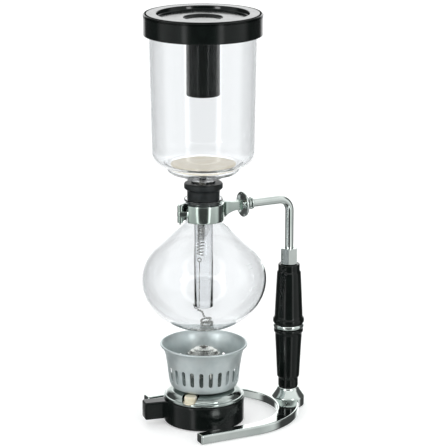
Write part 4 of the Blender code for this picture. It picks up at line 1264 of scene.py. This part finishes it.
@dataclass
class Burner:
    """The spirit burner: black tray with its tab, chromed cover, ivory filler cap, head and wick."""

    tray_wall: float = 2.1
    tab_deg: float = 170.0
    tab_width: float = 11.0
    tab_low_z: float = 5.0
    dent_deg: float = -96.0
    dent_z: float = 13.9
    cover_r: float = 32.6
    cap_knurls: int = 30
    head_r: float = 17.2
    head_side_z: float = 48.0
    head_hole_r: float = 3.4
    stud_deg: float = -26.5

    def tray(self) -> None:
        """Turn the tray with one pressed finger dent, and set its tab beside it.

        The dent draws the outer wall in by 0.45 mm times exp(-(d/5.5)^2), d the distance from its middle.
        """
        low, high = box_mm("burner_tray")
        rim = high[1]
        top = high[2]
        inner = rim - self.tray_wall
        corners = [(0.0, 0.0), (rim - 0.9, 0.0), (rim, 1.0), (rim, 4.0), (rim, 7.0), (rim, 10.0), (rim, 13.0),
                   (rim, 16.0), (rim, top - 0.8), (rim - 0.8, top), (inner + 0.2, top), (inner, top - 0.4),
                   (inner, self.tray_wall + 0.6), (inner - 0.4, self.tray_wall + 0.2),
                   (0.0, self.tray_wall + 0.2)]
        profile = rounded(corners, 1.2, 9)

        def dent(angle: Array, radius: Array, height: Array) -> Array:
            """Draw the wall in round the dent's middle, on the outer face only."""
            aside = rim * (np.mod(angle - math.radians(self.dent_deg) + math.pi, FULL_TURN) - math.pi)
            reach = (aside / 1.25) ** 2 + (height - self.dent_z) ** 2
            return -0.45 * np.exp(-reach / 5.5**2) * (radius > rim - 0.5)

        shell = Shell("burner_tray_moulded").add(turned(profile, 224, dent))
        shell.add(self.tab(rim, -low[0], top - 0.1), around=False, along=True, caps=True)
        shell.build(BLACK, Body.BURNER, ["burner_tray"])

    def tab(self, rim: float, tip_x: float, top: float) -> Array:
        """Carry a rounded rectangle outwards along the tab, drawing in at its end.

        Args:
            rim: The tray's radius.
            tip_x: How far the tab reaches along -X.
            top: The tab's upper face.

        Returns:
            The tab's grid, length by section.
        """
        slant = math.radians(180.0 - self.tab_deg)
        tip = (tip_x - (self.tab_width / 2 - 1.2) * math.sin(slant)) / math.cos(slant) - 0.1
        middle_z = (top + self.tab_low_z) / 2
        half_w, half_h = self.tab_width / 2, (top - self.tab_low_z) / 2
        ring = rounded([(1.0, 0.0), (1.0, 1.0), (-1.0, 1.0), (-1.0, -1.0), (1.0, -1.0), (1.0, 0.0)],
                       0.2, 6)[:-1]
        turn = np.radians(np.linspace(0.0, 90.0, 8))
        out = np.concatenate([[rim - 2.0, rim + 1.0, rim + 4.0], tip - 1.3 + 1.3 * np.sin(turn)])
        draw = np.concatenate([[0.0, 0.0, 0.0], 1.3 * (1 - np.cos(turn))])
        flare = np.concatenate([[1.8, 0.4, 0.0], np.zeros(len(turn))])
        beside = ring[None, :, 0] * (half_w - draw + flare)[:, None]
        height = middle_z + ring[None, :, 1] * (half_h - draw)[:, None]
        angle = math.radians(self.tab_deg)
        x = out[:, None] * math.cos(angle) - beside * math.sin(angle)
        y = out[:, None] * math.sin(angle) + beside * math.cos(angle)
        return np.stack([x, y, height], axis=-1)

    def cover(self) -> None:
        """Turn the cover's dome with a rolled foot, and cut the pocket that the filler cap stands in."""
        low, high = span("reservoir_cover")
        rim = self.cover_r
        profile = rounded([(3.3, high), (22.6, high), (24.8, high - 0.3), (27.2, high - 1.1),
                           (29.0, high - 2.3),
                           (30.4, 24.1), (30.9, 22.9), (31.3, 22.5), (32.2, 22.3), (rim, 21.7), (rim, 20.5),
                           (32.2, low), (18.5, low), (18.3, high - 1.4), (4.6, high - 1.4), (4.4, low),
                           (3.3, low)], 0.7, 6)
        # The cover's darker chrome colour is a painted reflection of dark surroundings.
        cover = Shell("reservoir_cover_spun").add(turned(profile, 160), along=True).build(
            COVER_CHROME_WITH_PAINTED_REFLECTION, Body.BURNER, ["reservoir_cover"])
        cap_low, cap_high = box_mm("filler_cap")
        centre = (cap_low + cap_high) / 2
        reach = (cap_high[0] - cap_low[0]) / 2 + 0.7
        floor = cap_low[2] - 0.3
        bore = np.array([(0.0, floor), (reach, floor), (reach, high + 2.0), (0.0, high + 2.0)])
        cutter = Shell("pocket_cutter").add(turned(bore, 96)).moved((centre[0], centre[1], 0.0))
        carve(cover, cutter, COVER_CHROME_WITH_PAINTED_REFLECTION)

    def filler_cap(self) -> None:
        """Turn the ivory cap: a knurled body, ribbed by a cosine of the angle, over a plain flange."""
        low, high = box_mm("filler_cap")
        centre = (low + high) / 2
        foot, top = low[2], high[2]
        flange = (high[0] - low[0]) / 2
        profile = evenly(rounded([(0.0, top), (4.3, top), (5.0, top - 0.8), (5.0, foot + 1.2),
                                  (5.2, foot + 1.0),
                                  (flange - 0.2, foot + 0.95), (flange, foot + 0.6), (flange, foot),
                                  (0.0, foot)], 0.5, 6), 0.2)

        def knurl(angle: Array, radius: Array, height: Array) -> Array:
            """Cut the ribs into the body's side, fading out at its ends."""
            side = np.clip((height - foot - 1.1) / 0.5, 0.0, 1.0)
            side = side * np.clip((top - 0.15 - height) / 0.5, 0.0, 1.0)
            return 0.22 * side * (np.cos(self.cap_knurls * angle) - 1.0) * (radius > 4.2)

        Shell("filler_cap_knurled").add(turned(profile, self.cap_knurls * 8, knurl)).moved(
            (centre[0], centre[1], 0.0)).build(IVORY, Body.FILLER_CAP, ["filler_cap"], 50.0)

    def head(self) -> None:
        """Turn the domed head with its pressed rings, and set a rivet on each shoulder.

        The dome is (R cos a, z0 + h sin a); its rings add 0.6% times the cosine of six turns over a.
        """
        low, high = span("burner_head")
        rise = high - self.head_side_z
        a = np.radians(np.linspace(0.0, 78.0, 90))
        ridge = 1 + 0.006 * np.cos(6 * FULL_TURN * a / a[-1]) * np.clip((a - 0.12) / 0.2, 0.0, 1.0)
        outer = np.stack([self.head_r * np.cos(a) * ridge, self.head_side_z + rise * np.sin(a) * ridge], axis=1)
        outer[:, 1] = np.minimum(outer[:, 1], high)
        inner = np.stack([(self.head_r - 0.9) * np.cos(a), self.head_side_z + (rise - 1.1) * np.sin(a)], axis=1)
        lip = rounded([(self.head_hole_r + 0.3, high - 0.15), (self.head_hole_r, high - 0.2),
                       (self.head_hole_r, high - 0.9)], 0.3, 4)
        profile = np.vstack([[(self.head_r - 0.9, low), (self.head_r, low), (self.head_r, 38.0)], outer, lip,
                             inner[::-1]])
        Shell("burner_head_spun").add(turned(profile, 144), along=True).build(
            HEAD_STEEL, Body.BURNER, ["burner_head"])
        rivets = Shell("head_rivets")
        side = math.radians(self.stud_deg)
        for turn in (side, side + math.pi):
            centre = np.array([[15.1 * math.cos(turn), 15.1 * math.sin(turn), 52.6]])
            rivets.add(ball_grids(centre, 1.3, 28, 15)[0])
        rivets.build(CHROME, Body.BURNER)

    def wick(self) -> None:
        """Turn the wick's tube, and twist the wick: three lobes that wind once in 9 mm."""
        low, high = box_mm("wick_tube")
        reach = (high[0] - low[0]) / 2
        tube_profile = rounded([(2.5, low[2]), (reach, low[2]), (reach, high[2]), (2.5, high[2])], 0.15, 3)
        Shell("wick_tube_drawn").add(turned(tube_profile, 48), along=True).build(
            STEEL, Body.BURNER, ["wick_tube"])
        low, high = box_mm("wick")
        reach = (high[0] - low[0]) / 2
        profile = evenly(rounded([(0.0, low[2]), (reach - 0.2, low[2] + 0.2), (reach - 0.05, high[2] - 0.9),
                                  (0.9, high[2]), (0.0, high[2] - 0.1)], 0.5, 5), 0.3)

        def twist(angle: Array, radius: Array, height: Array) -> Array:
            """Wind three lobes round the wick."""
            return 0.16 * (np.cos(3 * (angle - FULL_TURN * height / 9.0)) - 1.0) * (radius > 0.5)

        Shell("wick_twisted").add(turned(profile, 60, twist)).build(WICK_YARN, Body.WICK, ["wick"],
                                                                             80.0)

    def build(self) -> None:
        """Make the burner from its tray up."""
        self.tray()
        self.cover()
        self.filler_cap()
        self.head()
        self.wick()


@dataclass
class Windshield:
    """The spun aluminium cup round the burner's head, with a ring of upright, round-ended slots."""

    slots: int = 24
    slot_width: float = 3.3
    slot_low_z: float = 35.6
    slot_top_z: float = 48.2
    band_margin: float = 1.4
    hole_r: float = 17.9
    wall: float = 0.7
    bead_r: float = 0.85
    across: int = 8
    upright: int = 6

    def side(self) -> Array:
        """Trace the cup's outer face from its hole out and up to the rolled rim."""
        low, high = box_mm("windshield")
        rim = high[0]
        return rounded([(self.hole_r, low[2]), (22.8, low[2]), (26.7, 29.8), (28.2, 33.4), (28.7, 38.0),
                        (29.9, 48.0), (31.4, 57.0), (33.0, 61.6), (rim - self.bead_r, high[2] - self.bead_r)],
                       2.4, 8)

    def wall_r(self, height: Array | float) -> Array:
        """The outer face's radius at a height above its foot."""
        side = self.side()
        return np.interp(height, side[5:, 1], side[5:, 0])

    def cell_rings(self, radius: float) -> tuple[Array, Array]:
        """Trace one slot's edge and its cell's edge, point for point, anticlockwise from outside.

        The slot is a rectangle with a half circle at each end. Both edges are (along the wall, height).

        Args:
            radius: The wall's radius at the slots' middle.

        Returns:
            The slot's edge and the cell's edge.
        """
        low = self.slot_low_z - self.band_margin
        top = self.slot_top_z + self.band_margin
        half = FULL_TURN / self.slots * radius / 2
        r = self.slot_width / 2
        up = np.linspace(0.0, 1.0, self.upright, endpoint=False)
        over = np.linspace(0.0, 1.0, self.across, endpoint=False)
        straight = (self.slot_low_z + r) * (1 - up) + (self.slot_top_z - r) * up
        turn = math.pi * over
        slot_x = np.concatenate([np.full(len(up), r), r * np.cos(turn)])
        slot_z = np.concatenate([straight, self.slot_top_z - r + r * np.sin(turn)])
        cell_x = np.concatenate([np.full(len(up), half), half * (1 - 2 * over)])
        cell_z = np.concatenate([low * (1 - up) + top * up, np.full(len(over), top)])
        flip_z = low + top
        slot = np.stack([np.concatenate([slot_x, -slot_x]), np.concatenate([slot_z, flip_z - slot_z])], axis=1)
        cell = np.stack([np.concatenate([cell_x, -cell_x]), np.concatenate([cell_z, flip_z - cell_z])], axis=1)
        return slot, cell

    def build(self) -> None:
        """Join the plain wall to the ring of slot cells, thicken it, and roll a bead on the rim."""
        side = self.side()
        segments = self.slots * self.across
        low, top = self.slot_low_z - self.band_margin, self.slot_top_z + self.band_margin
        below = np.vstack([side[side[:, 1] < low - 0.05], [(float(self.wall_r(low)), low)]])
        above = np.vstack([[(float(self.wall_r(top)), top)], side[side[:, 1] > top + 0.05]])
        middle = float(self.wall_r((low + top) / 2))
        slot, cell = self.cell_rings(middle)
        blend = np.linspace(0.0, 1.0, 4)[None, :, None, None]
        ring = (1 - blend) * slot[None, None] + blend * cell[None, None]
        angle = ring[..., 0] / middle + (np.arange(self.slots) * FULL_TURN / self.slots)[:, None, None]
        height = ring[..., 1] + 0.0 * angle
        reach = self.wall_r(height)
        cells = np.stack([reach * np.cos(angle), reach * np.sin(angle), height], axis=-1)
        shell = Shell("windshield_spun").add(turned(below, segments)).add(turned(above, segments))
        for grid in cells:
            shell.add(grid, around=False, along=True)
        cup = shell.build(ALUMINIUM, Body.WINDSHIELD, ["windshield"], 50.0, sheet=True)
        wall = cup.modifiers.new("sheet_thickness", "SOLIDIFY")
        wall.thickness = self.wall * MM
        wall.offset = -1.0
        edge = cup.modifiers.new("deburred_edges", "BEVEL")
        edge.width = 0.14 * MM
        edge.segments = 2
        edge.limit_method = "ANGLE"
        edge.angle_limit = math.radians(55.0)
        high = box_mm("windshield")[1]
        bead = arc((high[0] - self.bead_r, high[2] - self.bead_r), self.bead_r, 0.0, 345.0, 23)
        Shell("windshield_rolled_rim").add(turned(bead, segments), along=True).build(ALUMINIUM, Body.WINDSHIELD)


@dataclass
class PlainSolids:
    """The solids that keep their own shape, with the finish that each one really has."""

    finishes: dict[str, Finish] = field(default_factory=lambda: {
        "base_washer": STEEL, "filter_upper_plate": STEEL, "filter_lower_plate": STEEL,
        "fuel_reservoir": STEEL, "reservoir_seal": RUBBER})

    def build(self) -> None:
        """Give each solid its finish."""
        for node, finish in self.finishes.items():
            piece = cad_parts[node]
            piece.data.materials.clear()
            piece.data.materials.append(finish.material())
            LOG.info("%s keeps its solid, %s", node, finish.name)


# Studio ------------------------------------------------------------------------------------------


@dataclass
class Studio:
    """A lit white sweep, three tall white panels with dark gaps between them, an overhead box, the camera."""

    camera_place: tuple[float, float, float] = (-0.7233, -1.4830, 0.61)
    camera_target: tuple[float, float, float] = (0.01438, -0.00701, 0.165)
    lens_mm: float = 172.05
    floor_r: float = 9000.0
    panel_deg: float = 63.5
    panel_dark: float = 0.11
    front_level: float = 0.95
    back_level: float = 1.9
    overhead: float = 1.15
    zenith: float = 0.3
    under_floor: float = 0.6
    strip_level: float = 2.2
    behind_stem: float = 0.7
    strip_cosine: float = 0.8
    front_deg: float = -116.5
    box_turn_deg: float = 37.0

    def camera(self) -> None:
        """Place the camera and look at the object's middle."""
        data = bpy.data.cameras.new("studio_camera")
        data.lens = self.lens_mm
        data.sensor_width = 36.0
        data.clip_start = 0.05
        data.clip_end = 60.0
        camera = bpy.data.objects.new("studio_camera", data)
        camera.location = self.camera_place
        aim = Vector(self.camera_target) - Vector(self.camera_place)
        camera.rotation_euler = aim.to_track_quat("-Z", "Y").to_euler()
        bpy.context.scene.collection.objects.link(camera)
        bpy.context.scene.camera = camera

    def floor(self) -> None:
        """Lay a round white sweep, which glows a little. Mirrored rays pass it, so metal shows the room."""
        material = bpy.data.materials.new("lit_white_sweep")
        material.use_nodes = True
        tree = material.node_tree
        shader = tree.nodes["Principled BSDF"]
        place = add_node(tree, "ShaderNodeTexCoord").outputs["Object"]
        paper = add_node(tree, "ShaderNodeTexNoise", {"Vector": place, "Scale": 6.0, "Detail": 2.0})
        tone = add_node(tree, "ShaderNodeMix", {"Factor": paper.outputs["Fac"], 6: linear("#f4f5f5"),
                                                7: linear("#f8f8f8")}, data_type="RGBA")
        tree.links.new(tone.outputs[2], shader.inputs["Base Color"])
        shader.inputs["Roughness"].default_value = 0.9
        shader.inputs["Specular IOR Level"].default_value = 0.1
        shader.inputs["Emission Color"].default_value = (1.0, 1.0, 1.0, 1.0)
        shader.inputs["Emission Strength"].default_value = 0.28
        mirrored = calc(tree, "MINIMUM", add_node(tree, "ShaderNodeLightPath").outputs["Glossy Depth"], 1.0)
        clear = add_node(tree, "ShaderNodeBsdfTransparent").outputs[0]
        seen = add_node(tree, "ShaderNodeMixShader", {0: mirrored, 1: shader.outputs[0], 2: clear})
        tree.links.new(seen.outputs[0], tree.nodes["Material Output"].inputs["Surface"])
        grid = turned(np.array([(0.0, -0.4), (900.0, -0.4), (self.floor_r, -0.4)]), 96)
        mesh = bpy.data.meshes.new("studio_floor")
        shell = Shell("studio_floor").add(grid, flip=True)
        mesh.from_pydata((shell.points[0] * MM).tolist(), [], shell.faces)
        mesh.materials.append(material)
        sweep = bpy.data.objects.new("studio_floor", mesh)
        bpy.context.scene.collection.objects.link(sweep)

    def world(self) -> None:
        """Light the room by direction.

        Round the horizon the level swings between dark and bright three times, as smoothstep of
        cos 3(a - a0) for azimuth a. The panel behind the object is the brightest, and two narrow upright
        strips stand in front. Above 45 degrees the overhead box takes over. Rays that have crossed many
        glass faces see the room dimmed, which keeps the stem's inside grey.
        """
        world = bpy.data.worlds.new("studio_room")
        bpy.context.scene.world = world
        world.use_nodes = True
        tree = world.node_tree
        background = tree.nodes["Background"]
        background.inputs["Color"].default_value = linear("#fbfcfc")
        ray = add_node(tree, "ShaderNodeTexCoord").outputs["Generated"]
        x, y, z = add_node(tree, "ShaderNodeSeparateXYZ", {0: ray}).outputs

        def towards(azimuth_deg: float) -> Socket:
            """Give the cosine between the ray and a level direction."""
            azimuth = math.radians(azimuth_deg)
            level = (math.cos(azimuth), math.sin(azimuth), 0.0)
            return add_node(tree, "ShaderNodeVectorMath", {0: ray, 1: level},
                            operation="DOT_PRODUCT").outputs["Value"]

        def mix(factor: Socket, low: float | Socket,
                high: float | Socket) -> Socket:
            """Mix two levels by a factor."""
            return add_node(tree, "ShaderNodeMix", {"Factor": factor, 2: low, 3: high}).outputs[0]

        phase = calc(tree, "MULTIPLY_ADD", calc(tree, "ARCTAN2", y, x), 3.0,
                     -3.0 * math.radians(self.panel_deg))
        panel = remap(tree, calc(tree, "COSINE", phase), (-0.55, 0.45), smooth=True)
        level = remap(tree, towards(self.panel_deg), (-0.5, 0.8), (self.front_level, self.back_level))
        off = calc(tree, "ABSOLUTE", calc(tree, "SUBTRACT", towards(self.front_deg), self.strip_cosine))
        strip = remap(tree, off, (0.02, 0.07), (self.strip_level, 0.0))
        wall = calc(tree, "ADD", mix(panel, self.panel_dark, level), strip)
        room = mix(remap(tree, z, (0.5, 0.75), smooth=True), wall, self.overhead)
        path = add_node(tree, "ShaderNodeLightPath").outputs
        for share in (remap(tree, z, (0.86, 0.96), (1.0, self.zenith)),
                      remap(tree, z, (-0.45, 0.0), (self.under_floor, 1.0)),
                      remap(tree, path["Transmission Depth"], (5.0, 8.0), (1.0, self.behind_stem))):
            room = calc(tree, "MULTIPLY", room, share)
        tree.links.new(mix(path["Is Camera Ray"], room, 1.0), background.inputs["Strength"])

    def box_light(self, name: str, azimuth_deg: float, elevation_deg: float, reach: float,
                  size: tuple[float, float], power: float) -> None:
        """Hang one soft box.

        Args:
            name: The light's name.
            azimuth_deg: Its direction from the object, from +X towards +Y.
            elevation_deg: Its height over the table, as an angle.
            reach: Its distance in metres.
            size: Width and height in metres.
            power: Radiant power in watts.
        """
        data = bpy.data.lights.new(name, "AREA")
        data.shape = "RECTANGLE"
        data.size, data.size_y = size
        data.energy = power
        light = bpy.data.objects.new(name, data)
        azimuth, elevation = math.radians(azimuth_deg), math.radians(elevation_deg)
        aim = Vector((math.cos(elevation) * math.cos(azimuth), math.cos(elevation) * math.sin(azimuth),
                      math.sin(elevation)))
        light.location = aim * reach + Vector((0.0, 0.0, 0.15))
        light.rotation_euler = aim.to_track_quat("Z", "Y").to_euler()
        bpy.context.scene.collection.objects.link(light)

    def build(self) -> None:
        """Set up the camera, floor, room and lights, with colours shown as they are."""
        self.camera()
        self.floor()
        self.world()
        self.box_light("key_box_left", self.front_deg - self.box_turn_deg, 19.0, 1.9, (0.40, 0.34), 4.5)
        self.box_light("fill_box_right", self.front_deg + self.box_turn_deg, 19.0, 1.9, (0.36, 0.32), 3.0)
        bpy.context.scene.view_settings.view_transform = "Standard"
        bpy.context.scene.view_settings.look = "None"


def main() -> None:
    """Build the studio and every sub-assembly."""
    logging.basicConfig(level=logging.INFO, format="%(message)s")
    for part in (Studio(), BallChain(), Stand(), Post(), NeckClamp(), Globe(), UpperBowl(), FilterSet(), Lid(),
                 Burner(), Windshield(), PlainSolids()):
        LOG.info("building %s", type(part).__name__)
        part.build()


if __name__ == "__main__":
    main()
